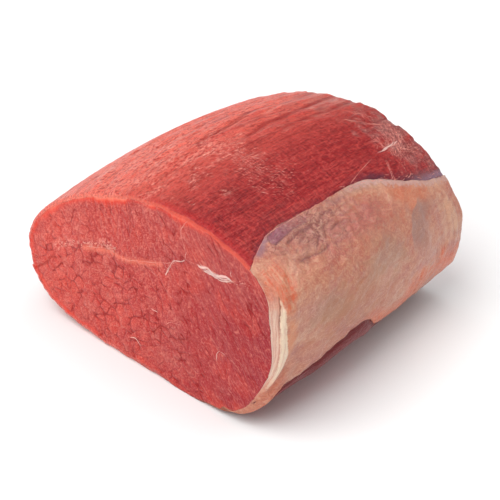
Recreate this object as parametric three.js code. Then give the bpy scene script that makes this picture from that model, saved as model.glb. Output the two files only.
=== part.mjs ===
// A raw beef roasting joint: a block of lean muscle cut square across the grain at both ends, with the
// outer fat left on along one side. It lies on the flat it has settled on.
// Millimetres. +X towards the fat side, +Y from the front cut to the back cut, +Z up.
// The origin is the middle of the joint's footprint, on the surface it rests on.
import * as THREE from 'three';

const { lerp, smoothstep, clamp } = THREE.MathUtils;

// Driving sizes
const jointLength = 157; // front cut to back cut, along the grain
const cutLean = 0.02; // both cuts lean back by this much for each millimetre of height
const rimRound = 1.6; // rounding where a cut meets the sides
const footRound = 5; // the softer rounding along the front cut's lower edge

// The outline of each cut: how far it reaches to each side and up, the height where each side is widest,
// and how square each quarter is, from 2 for an ellipse to 4 for a rounded box.
const frontCut = {
  leftX: -89, rightX: 91, crownX: 19.5, crownZ: 106.5, leftZ: 43, rightZ: 79,
  topRight: 1.88, topLeft: 1.62, bottomLeft: 3.5, bottomRight: 2.83,
};
const backCut = {
  leftX: -85.5, rightX: 85.5, crownX: 13.5, crownZ: 99, leftZ: 39.5, rightZ: 47.5,
  topRight: 1.84, topLeft: 1.8, bottomLeft: 2.8, bottomRight: 2.57,
};
// Halfway along, the joint swells by this much.
const middleSwell = { leftX: -5.4, rightX: 4, crownX: -3.7, crownZ: 7.5 };
const settled = 1.2; // how far the underside is pressed flat

// The fat: the X of its upper edge and the height of its lower edge, at shares of the joint's length
const fatUpperEdge = curve([0, 0.06, 0.13, 0.36, 0.48, 0.6, 0.74, 0.89, 1],
  [71, 66.7, 63, 63, 62, 62.5, 68.5, 72, 71.5]);
const fatLowerEdge = curve([0, 0.02, 0.05, 0.1, 0.2, 0.36, 0.43, 0.5, 0.6, 0.75, 1],
  [3, 14, 25, 30, 35, 41, 40, 29, 23, 20, 18]);
// Its thickness from the upper edge, 0, to the lower edge, 1
const fatThickness = curve([0, 0.08, 0.2, 0.36, 0.52, 0.75, 0.92, 1],
  [1, 3.4, 8.4, 7.2, 4.8, 4.3, 2.6, 1.2]);
const meatGap = 0.35; // between the fat and the lean it lies on
const fatStep = 0.9; // how far the lean lies back beside the fat's upper edge
const fatStepWidth = 9;

// Relief
const bundleRidge = { height: 0.55, spacing: 17, wander: 4, reach: 60 }; // muscle bundles along the top
const cutHollow = { depth: 0.8, spacing: 34 }; // unevenness of the two cuts
const fatDent = { depth: 0.7, spacing: 38 };
const scoop = { depth: 1.1, along: 54, height: 66, length: 15, tall: 26 }; // thin patch in the fat
const foldRoll = { height: 1.8, below: 8, width: 7, from: -70, to: 6 }; // lean that bulges under the fat

// Fineness of the faceted surface
const endRows = [0, 0.25 * rimRound, rimRound, footRound]; // millimetres in from each cut
const middleRows = 22; // between those
const leanColumns = [32, 14, 11]; // over the top, down the left and underneath, then up to the fat
const fatColumns = [6, 10]; // across the fat, below and above the height that follows
const fatBendZ = 62;
const cutRings = 6; // from the rim of a cut to its middle

// A smooth curve through values at given places
function curve(places, values) {
  const spline = new THREE.CubicInterpolant(new Float32Array(places), new Float32Array(values), 1);
  return (place) => spline.evaluate(place)[0];
}

// Slow waves that never repeat exactly, between -1 and 1
function waves(u, v) {
  const first = Math.sin(u + 0.7 * Math.sin(0.6 * v + 1));
  const second = Math.sin(0.63 * v - 0.41 * u + 2);
  return (first + second) / 2;
}

// The cross-section at a share of the length from the front cut
function sectionAt(share) {
  const swell = 4 * share * (1 - share);
  const section = {};
  for (const key of Object.keys(frontCut)) {
    section[key] = lerp(frontCut[key], backCut[key], share) + (middleSwell[key] ?? 0) * swell;
  }
  return section;
}

// A point of a section's outline: angle 0 is the fat side, a quarter turn the crown, half a turn the left
function outlinePoint(section, angle) {
  const cos = Math.cos(angle);
  const sin = Math.sin(angle);
  const onRight = cos >= 0;
  const above = sin >= 0;
  const corner = (above ? 'top' : 'bottom') + (onRight ? 'Right' : 'Left');
  const power = 2 / section[corner];
  const sideX = onRight ? section.rightX : section.leftX;
  const sideZ = onRight ? section.rightZ : section.leftZ;
  const endZ = above ? section.crownZ : -settled;
  return new THREE.Vector2(
    section.crownX + (sideX - section.crownX) * Math.abs(cos) ** power,
    sideZ + (endZ - sideZ) * Math.abs(sin) ** power,
  );
}

// The angle at which the fat side of a section has a given height
function angleAtHeight(section, height) {
  const { rightZ, crownZ, topRight, bottomRight } = section;
  const up = clamp((height - rightZ) / (crownZ - rightZ), 0, 1);
  const down = clamp((rightZ - height) / (rightZ + settled), 0, 1);
  return Math.asin(up ** (topRight / 2)) - Math.asin(down ** (bottomRight / 2));
}

// The angle at which the top of a section reaches a given X on the fat side
function angleAtReach(section, reach) {
  const across = clamp((reach - section.crownX) / (section.rightX - section.crownX), 0, 1);
  return Math.acos(across ** (section.topRight / 2));
}

// Points at even distances along the outline between two angles
function evenPoints(section, from, to, count) {
  const finer = 24 * count;
  const fine = [];
  const reach = [0];
  for (let i = 0; i <= finer; i += 1) {
    fine.push(outlinePoint(section, lerp(from, to, i / finer)));
    if (i > 0) reach.push(reach[i - 1] + fine[i].distanceTo(fine[i - 1]));
  }
  const points = [];
  let at = 0;
  for (let i = 0; i <= count; i += 1) {
    const wanted = (reach[finer] * i) / count;
    while (at < finer - 1 && reach[at + 1] < wanted) at += 1;
    const share = (wanted - reach[at]) / (reach[at + 1] - reach[at]);
    points.push(fine[at].clone().lerp(fine[at + 1], clamp(share, 0, 1)));
  }
  return points;
}

// Points through a chain of angles, each with its distance round from the first and the whole distance
function chainOfPoints(section, angles, counts) {
  const points = [outlinePoint(section, angles[0])];
  counts.forEach((count, i) => {
    points.push(...evenPoints(section, angles[i], angles[i + 1], count).slice(1));
  });
  let round = 0;
  const entries = points.map((point, i) => {
    if (i > 0) round += point.distanceTo(points[i - 1]);
    return { point, round };
  });
  entries.forEach((entry) => {
    entry.length = round;
  });
  return entries;
}

// Turns each point's neighbours into its outward normal, in the plane of the section
function addNormals(points) {
  points.forEach((entry, i) => {
    const before = points[(i + points.length - 1) % points.length].point;
    const after = points[(i + 1) % points.length].point;
    const along = after.clone().sub(before).normalize();
    entry.normal = new THREE.Vector2(along.y, -along.x);
  });
}

// How much a point lies back where a cut rounds over into the sides
function rimInset(share, point) {
  const fromFront = share * jointLength;
  const fromBack = jointLength - fromFront;
  const lowLeft = smoothstep(25 - point.x, 0, 20) * smoothstep(30 - point.y, 0, 20);
  const round = fromFront < fromBack ? lerp(rimRound, footRound, lowLeft) : rimRound;
  const inside = clamp(round - Math.min(fromFront, fromBack), 0, round);
  return round - Math.sqrt(round * round - inside * inside);
}

// Relief on the lean's outer face: bundles that run along the grain, and a fold below the fat
function leanRelief(along, entry, section) {
  const { point, round, length } = entry;
  const { height, spacing, wander, reach } = bundleRidge;
  const fromCrown = Math.abs(point.x - section.crownX);
  const onTop = smoothstep(point.y, 40, 70) * (1 - smoothstep(fromCrown, reach, 1.4 * reach));
  const turn = (2 * Math.PI * (round + wander * Math.sin(along / 31))) / spacing;
  const ridge = height * onTop * waves(turn, along / 23);
  const step = -fatStep * (1 - smoothstep(round, 0, fatStepWidth));
  const below = length - round - foldRoll.below;
  const foldShare = smoothstep(along, foldRoll.from, foldRoll.from + 15)
    * (1 - smoothstep(along, foldRoll.to - 20, foldRoll.to));
  return ridge + step + foldRoll.height * foldShare * Math.exp(-((below / foldRoll.width) ** 2));
}

// Relief on the fat's outer face: soft dents, and a patch where the fat was trimmed thinner
function fatRelief(along, entry) {
  const { point } = entry;
  const turn = (2 * Math.PI) / fatDent.spacing;
  const dent = fatDent.depth * waves(turn * point.y, turn * along);
  const awayAlong = (along - scoop.along) / scoop.length;
  const awayUp = (point.y - scoop.height) / scoop.tall;
  const inScoop = 1 - smoothstep(Math.hypot(awayAlong, awayUp), 0.6, 1);
  return dent - scoop.depth * inScoop;
}

// A point of the joint, pressed in from the outline by a depth
function placeAt(share, entry, depth) {
  const { x, y } = entry.point.clone().addScaledVector(entry.normal, -depth);
  const z = Math.max(y, 0);
  return new THREE.Vector3(x, (share - 0.5) * jointLength + cutLean * (z - frontCut.leftZ), z);
}

// One row of the joint's surface, all the way round. It starts at the fat's upper edge, goes over the crown
// and underneath to the fat's lower edge, and then up across the fat. The lean's face lies under the fat's
// inner face there.
function surfaceRow(share) {
  const section = sectionAt(share);
  const whole = 2 * Math.PI;
  const upper = angleAtReach(section, fatUpperEdge(share));
  const lower = whole + angleAtHeight(section, fatLowerEdge(share));
  const bend = whole + angleAtHeight(section, fatBendZ);
  const bare = chainOfPoints(section, [upper, 0.5 * whole, 0.75 * whole, lower], leanColumns);
  const covered = chainOfPoints(section, [lower, bend, whole + upper], fatColumns);
  covered.forEach((entry) => {
    entry.across = 1 - entry.round / entry.length;
  });
  bare[0].across = 0;
  const ring = [...bare.slice(0, -1), ...covered.slice(0, -1)];
  addNormals(ring);
  const along = (share - 0.5) * jointLength;
  const underFat = (entry) => {
    const skin = rimInset(share, entry.point) - Math.sin(Math.PI * entry.across) * fatRelief(along, entry);
    return { skin, inner: skin + fatThickness(entry.across) };
  };
  const lean = ring.map((entry) => {
    const depth = entry.across === undefined
      ? rimInset(share, entry.point) - leanRelief(along, entry, section)
      : underFat(entry).inner + meatGap;
    return placeAt(share, entry, depth);
  });
  const fat = [...ring.slice(bare.length - 1), ring[0]];
  return {
    lean,
    fatOuter: fat.map((entry) => placeAt(share, entry, underFat(entry).skin)),
    fatInner: fat.map((entry) => placeAt(share, entry, underFat(entry).inner)),
  };
}

// Rings that close a cut, from its rim to its middle, with the slight hollows a knife leaves
function cutRingsOf(rim, share, side) {
  const middle = new THREE.Vector3();
  rim.forEach((point) => middle.addScaledVector(point, 1 / rim.length));
  const rings = [rim];
  for (let k = 1; k < cutRings; k += 1) {
    const inward = k / cutRings;
    rings.push(rim.map((point) => {
      const inner = point.clone().lerp(middle, inward);
      const turn = (2 * Math.PI) / cutHollow.spacing;
      const fade = smoothstep(inward, 0, 0.4);
      const hollow = cutHollow.depth * fade * waves(turn * inner.x, turn * inner.z + share);
      inner.y = (share - 0.5) * jointLength + cutLean * (inner.z - frontCut.leftZ) - side * hollow;
      return inner;
    }));
  }
  middle.y = (share - 0.5) * jointLength + cutLean * (middle.z - frontCut.leftZ);
  return { rings, middle };
}

// The two triangles of a four-sided patch, its corners in order round it as seen from outside
function patch(a, b, c, d) {
  return [[a, b, c], [a, c, d]];
}

function flipped(triangles) {
  return triangles.map(([a, b, c]) => [a, c, b]);
}

// The triangles between neighbouring rows of points that run the same way
function skinBetween(pointRows, closedRound) {
  const triangles = [];
  for (let i = 0; i + 1 < pointRows.length; i += 1) {
    const near = pointRows[i];
    const far = pointRows[i + 1];
    const last = closedRound ? near.length : near.length - 1;
    for (let j = 0; j < last; j += 1) {
      const next = (j + 1) % near.length;
      triangles.push(...patch(near[j], far[j], far[next], near[next]));
    }
  }
  return triangles;
}

// A closed cut: its rings and the fan round its middle. Side is 1 at the back cut, -1 at the front.
function closeCut(rim, share, side) {
  const { rings, middle } = cutRingsOf(rim, share, side);
  const triangles = skinBetween(rings, true);
  const inmost = rings[rings.length - 1];
  inmost.forEach((point, j) => triangles.push([point, middle, inmost[(j + 1) % inmost.length]]));
  return side > 0 ? triangles : flipped(triangles);
}

function named(name, triangles, material) {
  const geometry = new THREE.BufferGeometry().setFromPoints(triangles.flat());
  geometry.computeVertexNormals();
  const mesh = new THREE.Mesh(geometry, material);
  mesh.name = name;
  return mesh;
}

// Where the rows lie, as shares of the length: closer together where the cuts round over
function rowShares() {
  const fromEnd = endRows.map((distance) => distance / jointLength);
  const first = fromEnd[fromEnd.length - 1];
  const middle = [];
  for (let i = 1; i < middleRows; i += 1) middle.push(lerp(first, 1 - first, i / middleRows));
  return [...fromEnd, ...middle, ...fromEnd.map((share) => 1 - share).reverse()];
}

const surface = rowShares().map(surfaceRow);
const front = surface[0];
const back = surface[surface.length - 1];

function leanMuscle() {
  const material = new THREE.MeshStandardMaterial({ color: '#b8333b', roughness: 0.45, metalness: 0 });
  return named('lean_muscle', [
    ...skinBetween(surface.map((row) => row.lean), true),
    ...closeCut(front.lean, 0, -1),
    ...closeCut(back.lean, 1, 1),
  ], material);
}

function fatCap() {
  const material = new THREE.MeshStandardMaterial({ color: '#d09a84', roughness: 0.4, metalness: 0 });
  const lowerEdge = surface.map((row) => [row.fatInner[0], row.fatOuter[0]]);
  const last = front.fatOuter.length - 1;
  const upperEdge = surface.map((row) => [row.fatOuter[last], row.fatInner[last]]);
  return named('fat_cap', [
    ...skinBetween(surface.map((row) => row.fatOuter), false),
    ...flipped(skinBetween(surface.map((row) => row.fatInner), false)),
    ...skinBetween(lowerEdge, false),
    ...skinBetween(upperEdge, false),
    ...flipped(skinBetween([front.fatOuter, front.fatInner], false)),
    ...skinBetween([back.fatOuter, back.fatInner], false),
  ], material);
}

const joint = new THREE.Group();
joint.add(leanMuscle(), fatCap());
export default joint;
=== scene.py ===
import math
import bpy
import numpy as np
from mathutils import Matrix, Vector
from mathutils.bvhtree import BVHTree


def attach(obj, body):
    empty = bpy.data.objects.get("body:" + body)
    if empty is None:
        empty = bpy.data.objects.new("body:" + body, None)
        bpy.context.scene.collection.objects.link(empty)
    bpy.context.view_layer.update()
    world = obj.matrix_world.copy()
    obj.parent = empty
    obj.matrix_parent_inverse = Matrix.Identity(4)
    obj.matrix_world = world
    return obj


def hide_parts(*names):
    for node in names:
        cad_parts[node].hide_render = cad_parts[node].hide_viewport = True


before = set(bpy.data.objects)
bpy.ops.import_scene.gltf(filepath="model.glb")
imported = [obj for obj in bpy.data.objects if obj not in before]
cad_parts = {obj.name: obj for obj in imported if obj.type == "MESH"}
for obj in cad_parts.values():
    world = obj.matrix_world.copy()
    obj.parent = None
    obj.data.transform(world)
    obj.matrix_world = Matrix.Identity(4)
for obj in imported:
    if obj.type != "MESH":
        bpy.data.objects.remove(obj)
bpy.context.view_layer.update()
print("frame loaded")

# A raw beef roasting joint: lean muscle cut square across the grain at both ends, with the outer fat left
# on along one side. Sizes are millimetres until the meshes are made. x runs towards the fat, y from the
# front cut to the back cut along the grain, z up.

# the form that both pieces share, with the sizes of the solids they stand for
jointForm = {
    "length": 157.0,            # front cut to back cut
    "cutLean": 0.02,            # how far the cuts lean back per mm of height
    "rimRound": 1.6,            # rounding where a cut meets the sides
    # softer rounding along the front cut's lower left edge; here and below, a pair of numbers in square
    # brackets is where a thing starts and where it is full
    "footRound": {"radius": 3.5, "x": [25, 5], "z": [30, 10]},
    "settled": 1.2,             # how far the underside is pressed flat
    "frontCut": {"leftX": -89, "rightX": 91, "crownX": 19.5, "crownZ": 106.5, "leftZ": 43, "rightZ": 79,
                 "topRight": 1.88, "topLeft": 1.62, "bottomLeft": 3.5, "bottomRight": 2.83},
    "backCut": {"leftX": -85.5, "rightX": 85.5, "crownX": 13.5, "crownZ": 99, "leftZ": 39.5, "rightZ": 47.5,
                "topRight": 1.84, "topLeft": 1.8, "bottomLeft": 2.8, "bottomRight": 2.57},
    "middleSwell": {"leftX": -5.4, "rightX": 4, "crownX": -3.7, "crownZ": 7.5},
    # the fat: x of its upper edge and height of its lower edge, by share of the length, then its
    # thickness from the upper edge, 0, to the lower edge, 1
    "fatUpperEdge": ([0, 0.06, 0.13, 0.36, 0.48, 0.6, 0.74, 0.89, 1],
                     [71, 66.7, 63, 63, 62, 62.5, 68.5, 72, 71.5]),
    "fatLowerEdge": ([0, 0.02, 0.05, 0.1, 0.2, 0.36, 0.43, 0.5, 0.6, 0.75, 1],
                     [3, 14, 25, 30, 35, 41, 40, 29, 23, 20, 18]),
    "fatThickness": ([0, 0.08, 0.2, 0.36, 0.52, 0.75, 0.92, 1],
                     [1, 3.4, 8.4, 7.2, 4.8, 4.3, 2.6, 1.2]),
    "fatBend": 62,              # height that the columns across the fat follow
}


def smoothStep(value, low, high):
    share = np.clip((value - low) / (high - low), 0, 1)
    return share * share * (3 - 2 * share)


def hill(away, width):
    return np.exp(-((away / width) ** 2))


def smoothCurve(knots, at):
    places, values = np.array(knots[0], float), np.array(knots[1], float)
    chord = np.diff(values) / np.diff(places)
    slope = np.concatenate([chord[:1], (chord[1:] + chord[:-1]) / 2, chord[-1:]])
    i = np.clip(np.searchsorted(places, at) - 1, 0, len(chord) - 1)
    gap = places[i + 1] - places[i]
    p = (at - places[i]) / gap
    start = (1 + 2 * p) * (1 - p) ** 2 * values[i] + p * (1 - p) ** 2 * gap * slope[i]
    return start + p * p * (3 - 2 * p) * values[i + 1] - p * p * (1 - p) * gap * slope[i + 1]


def slowWaves(u, v):
    return (np.sin(u + 0.7 * np.sin(0.6 * v + 1)) + np.sin(0.63 * v - 0.41 * u + 2)) / 2


def sectionAt(share):
    swell = 4 * share * (1 - share)
    section = {}
    for key, front in jointForm["frontCut"].items():
        bulge = jointForm["middleSwell"].get(key, 0) * swell
        section[key] = front + (jointForm["backCut"][key] - front) * share + bulge
    return section


def outlinePoint(section, angle):
    cos = np.cos(angle)
    sin = np.sin(angle)
    onRight = cos >= 0
    above = sin >= 0
    topCorner = np.where(onRight, section["topRight"], section["topLeft"])
    bottomCorner = np.where(onRight, section["bottomRight"], section["bottomLeft"])
    power = 2 / np.where(above, topCorner, bottomCorner)
    sideX = np.where(onRight, section["rightX"], section["leftX"])
    sideZ = np.where(onRight, section["rightZ"], section["leftZ"])
    endZ = np.where(above, section["crownZ"], -jointForm["settled"])
    x = section["crownX"] + (sideX - section["crownX"]) * np.abs(cos) ** power
    z = sideZ + (endZ - sideZ) * np.abs(sin) ** power
    return x, z


def angleAtHeight(section, height):
    up = np.clip((height - section["rightZ"]) / (section["crownZ"] - section["rightZ"]), 0, 1)
    down = np.clip((section["rightZ"] - height) / (section["rightZ"] + jointForm["settled"]), 0, 1)
    return math.asin(up ** (section["topRight"] / 2)) - math.asin(down ** (section["bottomRight"] / 2))


def angleAtReach(section, reach):
    across = np.clip((reach - section["crownX"]) / (section["rightX"] - section["crownX"]), 0, 1)
    return math.acos(across ** (section["topRight"] / 2))


def evenPoints(section, start, stop, count):
    x, z = outlinePoint(section, np.linspace(start, stop, 24 * count + 1))
    reach = np.concatenate([[0], np.cumsum(np.hypot(np.diff(x), np.diff(z)))])
    wanted = np.linspace(0, reach[-1], count + 1)
    return np.interp(wanted, reach, x), np.interp(wanted, reach, z)


def ringAt(share, bareColumns, coveredColumns):
    # one section's outline: from the fat's upper edge over the crown and underneath to the fat's lower
    # edge, then up across the fat
    section = sectionAt(share)
    turn = 2 * math.pi
    upper = angleAtReach(section, smoothCurve(jointForm["fatUpperEdge"], share))
    lower = turn + angleAtHeight(section, smoothCurve(jointForm["fatLowerEdge"], share))
    bend = turn + angleAtHeight(section, jointForm["fatBend"])
    stops = [upper, 0.5 * turn, 0.75 * turn, lower, bend, turn + upper]
    counts = bareColumns + coveredColumns
    parts = [evenPoints(section, *stops[i:i + 2], count) for i, count in enumerate(counts)]
    x, z = [np.concatenate([part[axis][:-1] for part in parts]) for axis in (0, 1)]
    step = np.hypot(np.roll(x, -1) - x, np.roll(z, -1) - z)
    reach = np.concatenate([[0], np.cumsum(step)[:-1]])
    bare = sum(bareColumns)
    covered = np.arange(len(x)) >= bare
    across = np.where(covered, 1 - (reach - reach[bare]) / (step.sum() - reach[bare]), -1.0)
    across[0] = 0
    alongX = np.roll(x, -1) - np.roll(x, 1)
    alongZ = np.roll(z, -1) - np.roll(z, 1)
    size = np.hypot(alongX, alongZ)
    whole = jointForm["length"]
    return {"along": (share - 0.5) * whole, "fromFront": share * whole,
            "fromBack": whole - share * whole, "section": section, "x": x, "z": z,
            "reach": reach, "bare": bare, "bareReach": reach[bare], "whole": step.sum(),
            "across": across, "normalX": alongZ / size, "normalZ": -alongX / size}


def rimInset(ring):
    rim = jointForm["rimRound"]
    foot = jointForm["footRound"]
    lowLeft = smoothStep(ring["x"], *foot["x"]) * smoothStep(ring["z"], *foot["z"])
    rounding = rim + (foot["radius"] - rim) * lowLeft * (ring["fromFront"] < ring["fromBack"])
    inside = np.clip(rounding - min(ring["fromFront"], ring["fromBack"]), 0, rounding)
    return rounding - np.sqrt(rounding ** 2 - inside ** 2)


def pointsAt(ring, depth):
    x = ring["x"] - ring["normalX"] * depth
    z = np.maximum(ring["z"] - ring["normalZ"] * depth, 0)
    y = ring["along"] + jointForm["cutLean"] * (z - jointForm["frontCut"]["leftZ"])
    return np.stack([x, y, z], axis=1)


def sharesAlong(endRows, middleRows):
    ends = np.array(endRows) / jointForm["length"]
    middle = np.linspace(ends[-1], 1 - ends[-1], middleRows + 1)[1:-1]
    return np.concatenate([ends, middle, 1 - ends[::-1]])


def linkedObject(name, data):
    piece = bpy.data.objects.new(name, data)
    bpy.context.scene.collection.objects.link(piece)
    return piece


def weldedObject(name, grids):
    # grids of points joined where they touch; each is (points, fields, flipped, material number)
    points = np.concatenate([grid[0].reshape(-1, 3) for grid in grids])
    fields = {key: np.concatenate([grid[1][key].reshape(-1) for grid in grids]) for key in grids[0][1]}
    quads = []
    finishes = []
    start = 0
    for gridPoints, _, flipped, finish in grids:
        rows, columns = gridPoints.shape[:2]
        index = start + np.arange(rows * columns).reshape(rows, columns)
        corners = [index[:-1, :-1], index[1:, :-1], index[1:, 1:], index[:-1, 1:]]
        quad = np.stack(corners, axis=-1).reshape(-1, 4)
        quads.append(quad[:, ::-1] if flipped else quad)
        finishes += [finish] * len(quad)
        start += rows * columns
    _, first, merged = np.unique(np.round(points, 4), axis=0, return_index=True, return_inverse=True)
    faces = merged.reshape(-1)[np.concatenate(quads)]
    # a face whose corners have joined is dropped or becomes a triangle
    corners = [[c for i, c in enumerate(face) if c != face[i - 1]] for face in faces.tolist()]
    clean, worn = zip(*[pair for pair in zip(corners, finishes) if len(pair[0]) > 2])
    mesh = bpy.data.meshes.new(name)
    mesh.from_pydata((points[first] / 1000).tolist(), [], clean)
    mesh.polygons.foreach_set("material_index", worn)
    mesh.shade_smooth()
    rest = mesh.attributes.new("restMm", "FLOAT_VECTOR", "POINT")
    rest.data.foreach_set("vector", points[first].astype(np.float32).ravel())
    for key, values in fields.items():
        stored = mesh.attributes.new(key, "FLOAT", "POINT")
        stored.data.foreach_set("value", values[first].astype(np.float32))
    return linkedObject(name, mesh)


def hexColour(code):
    parts = [int(code[i:i + 2], 16) / 255 for i in (1, 3, 5)]
    linear = [p / 12.92 if p <= 0.04045 else ((p + 0.055) / 1.055) ** 2.4 for p in parts]
    return (*linear, 1.0)


def addNode(tree, kind, links=None, output=None, **settings):
    # adds a node, sets it up, fills or links its sockets, and gives back one output
    node = tree.nodes.new(kind)
    for key, value in settings.items():
        setattr(node, key, value)
    for key, value in (links or {}).items():
        if isinstance(value, bpy.types.NodeSocket):
            tree.links.new(value, node.inputs[key])
        else:
            node.inputs[key].default_value = value
    if output is not None:
        return node.outputs[output]
    shown = [socket for socket in node.outputs if socket.enabled]
    return shown[0] if shown else node


mathNode = "ShaderNodeMath"
vectorNode = "ShaderNodeVectorMath"
rangeNode = "ShaderNodeMapRange"
noiseNode = "ShaderNodeTexNoise"
cellNode = "ShaderNodeTexVoronoi"
mixNode = "ShaderNodeMix"


def storedField(tree, key, vector=False):
    kind = "FLOAT_VECTOR" if vector else "FLOAT"
    if tree.bl_idname == "GeometryNodeTree":
        return addNode(tree, "GeometryNodeInputNamedAttribute", {"Name": key}, data_type=kind)
    return addNode(tree, "ShaderNodeAttribute", output="Vector" if vector else "Fac", attribute_name=key)


def restPlace(tree):
    # what is known at first of a spot on the joint: its place in mm, before any relief
    place = storedField(tree, "restMm", vector=True)
    known = {axis.lower(): addNode(tree, "ShaderNodeSeparateXYZ", {0: place}, output=axis) for axis in "XYZ"}
    known["place"] = place
    return known


def lookUp(tree, known, part):
    # a number as it is, and a name as the pattern or mask that is known by it or the mesh's field
    if isinstance(part, str) and part not in known:
        known[part] = storedField(tree, part)
    return known.get(part, part)


def workOut(tree, known, steps):
    # adds to what is known, step by step: each step is a sum or a kind of range, then what goes into it; a
    # range runs from 0 to 1, or between its last two numbers, while its first part goes from low to high
    for key, (rule, *parts) in steps.items():
        links = {i: lookUp(tree, known, part) for i, part in enumerate(parts)}
        if rule in ("LINEAR", "SMOOTHSTEP"):
            known[key] = addNode(tree, rangeNode, links, interpolation_type=rule)
        else:
            known[key] = addNode(tree, mathNode, links, operation=rule)


def sumHeights(tree, known, heights):
    # adds up heights in mm; each is a pattern around zero and how high it stands, with masks after that
    total = 0.0
    for pattern, size, *limits in heights:
        pattern = lookUp(tree, known, pattern)
        for limit in limits:
            links = {0: pattern, 1: lookUp(tree, known, limit)}
            pattern = addNode(tree, mathNode, links, operation="MULTIPLY")
        total = addNode(tree, mathNode, {0: pattern, 1: size, 2: total}, operation="MULTIPLY_ADD")
    return total


# how the muscle is built up, in mm; the bundles run along the grain, so a cut shows them end on
muscleGrain = {
    "bundle": 6.2,              # width of one bundle of fibres
    "slant": 0.4,               # the bundles are squashed along a line that rises this steeply
    "slantTo": 34.0,            # as far to the right as this
    "slantEases": 20.0,
    "runLength": 14.0,          # a bundle is drawn this many times longer than it is wide
    "warp": 2.4,                # how far the bundles wander out of true
    "warpSpacing": 12.0,
    # near the fat the bundles are pressed flat and slope down towards it, this many degrees
    "tilt": 57.0,
    "flatFrom": 15.0,           # place across the slope where they start to flatten
    "flatOver": 62.0,
    "squeeze": 0.0085,
    "stretch": 0.4,
    # gaps open in patches and are broken up by smaller ones; the patches count for more
    "gapPatch": 11.0,
    "gapBreak": 3.4,
    "gapPatchShare": 1.4,
}


def addBundles(tree, known):
    # distance to the nearest bundle's edge and middle, in bundle widths, a tone for each bundle, how open
    # the gaps are, and the place as the bundles see it, before and after they are pressed flat
    grain = muscleGrain
    workOut(tree, known, {
        "leftward": ("SMOOTH_MIN", "x", grain["slantTo"], grain["slantEases"]),
        "upright": ("MULTIPLY_ADD", "leftward", -grain["slant"], "z"),
    })
    slanted = addNode(tree, "ShaderNodeCombineXYZ", {0: known["x"], 1: known["y"], 2: known["upright"]})
    links = {"Vector": slanted, "Scale": 1 / grain["warpSpacing"], "Detail": 3.0}
    wander = addNode(tree, noiseNode, links, output="Color")
    offset = addNode(tree, vectorNode, {0: wander, 1: (0.5, 0.5, 0.5)}, operation="SUBTRACT")
    links = {0: offset, 1: (2 * grain["warp"],) * 3, 2: slanted}
    warped = addNode(tree, vectorNode, links, operation="MULTIPLY_ADD")
    tilt = math.radians(grain["tilt"])
    slopes = {"over": (math.sin(tilt), 0, math.cos(tilt)), "under": (math.cos(tilt), 0, -math.sin(tilt))}
    for key, slope in slopes.items():
        links = {0: warped, 1: slope}
        known[key] = addNode(tree, vectorNode, links, output="Value", operation="DOT_PRODUCT")
    known["warpedY"] = addNode(tree, "ShaderNodeSeparateXYZ", {0: warped}, output="Y")
    workOut(tree, known, {
        "past": ("SUBTRACT", "over", grain["flatFrom"]),
        "flattened": ("MAXIMUM", "past", 0.0),
        "squared": ("MULTIPLY", "flattened", "flattened"),
        "squeezed": ("MULTIPLY_ADD", "squared", grain["squeeze"], "over"),
        "longer": ("SMOOTHSTEP", "flattened", 0.0, grain["flatOver"], 1.0, grain["stretch"]),
        "stretched": ("MULTIPLY", "under", "longer"),
        "lengthwise": ("MULTIPLY", "warpedY", 1 / grain["runLength"]),
    })
    links = {0: known["squeezed"], 1: known["lengthwise"], 2: known["stretched"]}
    pressed = addNode(tree, "ShaderNodeCombineXYZ", links)
    links = {"Vector": pressed, "Scale": 1 / grain["bundle"], "Randomness": 1.0}
    middle = addNode(tree, cellNode, links, output="Distance", feature="F1")
    known.update({
        "slanted": slanted, "pressed": pressed, "middle": middle, "tone": middle.node.outputs["Color"],
        "edge": addNode(tree, cellNode, links, feature="DISTANCE_TO_EDGE"),
    })
    for key, detail in (("gapPatch", 2.0), ("gapBreak", 1.0)):
        links = {"Vector": warped, "Scale": 1 / grain[key], "Detail": detail}
        known[key] = addNode(tree, noiseNode, links)
    workOut(tree, known, {"gaps": ("MULTIPLY_ADD", "gapPatch", grain["gapPatchShare"], "gapBreak")})


def applyRelief(piece, heightOf):
    # Geometry Nodes move the surface out by the height, in mm, that heightOf builds
    tree = bpy.data.node_groups.new(f"{piece.name} relief", "GeometryNodeTree")
    for way in ("INPUT", "OUTPUT"):
        tree.interface.new_socket(name="Geometry", in_out=way, socket_type="NodeSocketGeometry")
    given = addNode(tree, "NodeGroupInput", output=0)
    metres = addNode(tree, mathNode, {0: heightOf(tree), 1: 0.001}, operation="MULTIPLY")
    normal = addNode(tree, "GeometryNodeInputNormal", output=0)
    offset = addNode(tree, vectorNode, {0: normal, "Scale": metres}, operation="SCALE")
    moved = addNode(tree, "GeometryNodeSetPosition", {"Geometry": given, "Offset": offset})
    addNode(tree, "NodeGroupOutput", {0: moved})
    piece.modifiers.new("relief", "NODES").node_group = tree
    evaluated = piece.evaluated_get(bpy.context.evaluated_depsgraph_get())
    mesh = bpy.data.meshes.new_from_object(evaluated)
    piece.modifiers.clear()
    piece.data = mesh
    mesh.shade_smooth()


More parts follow.
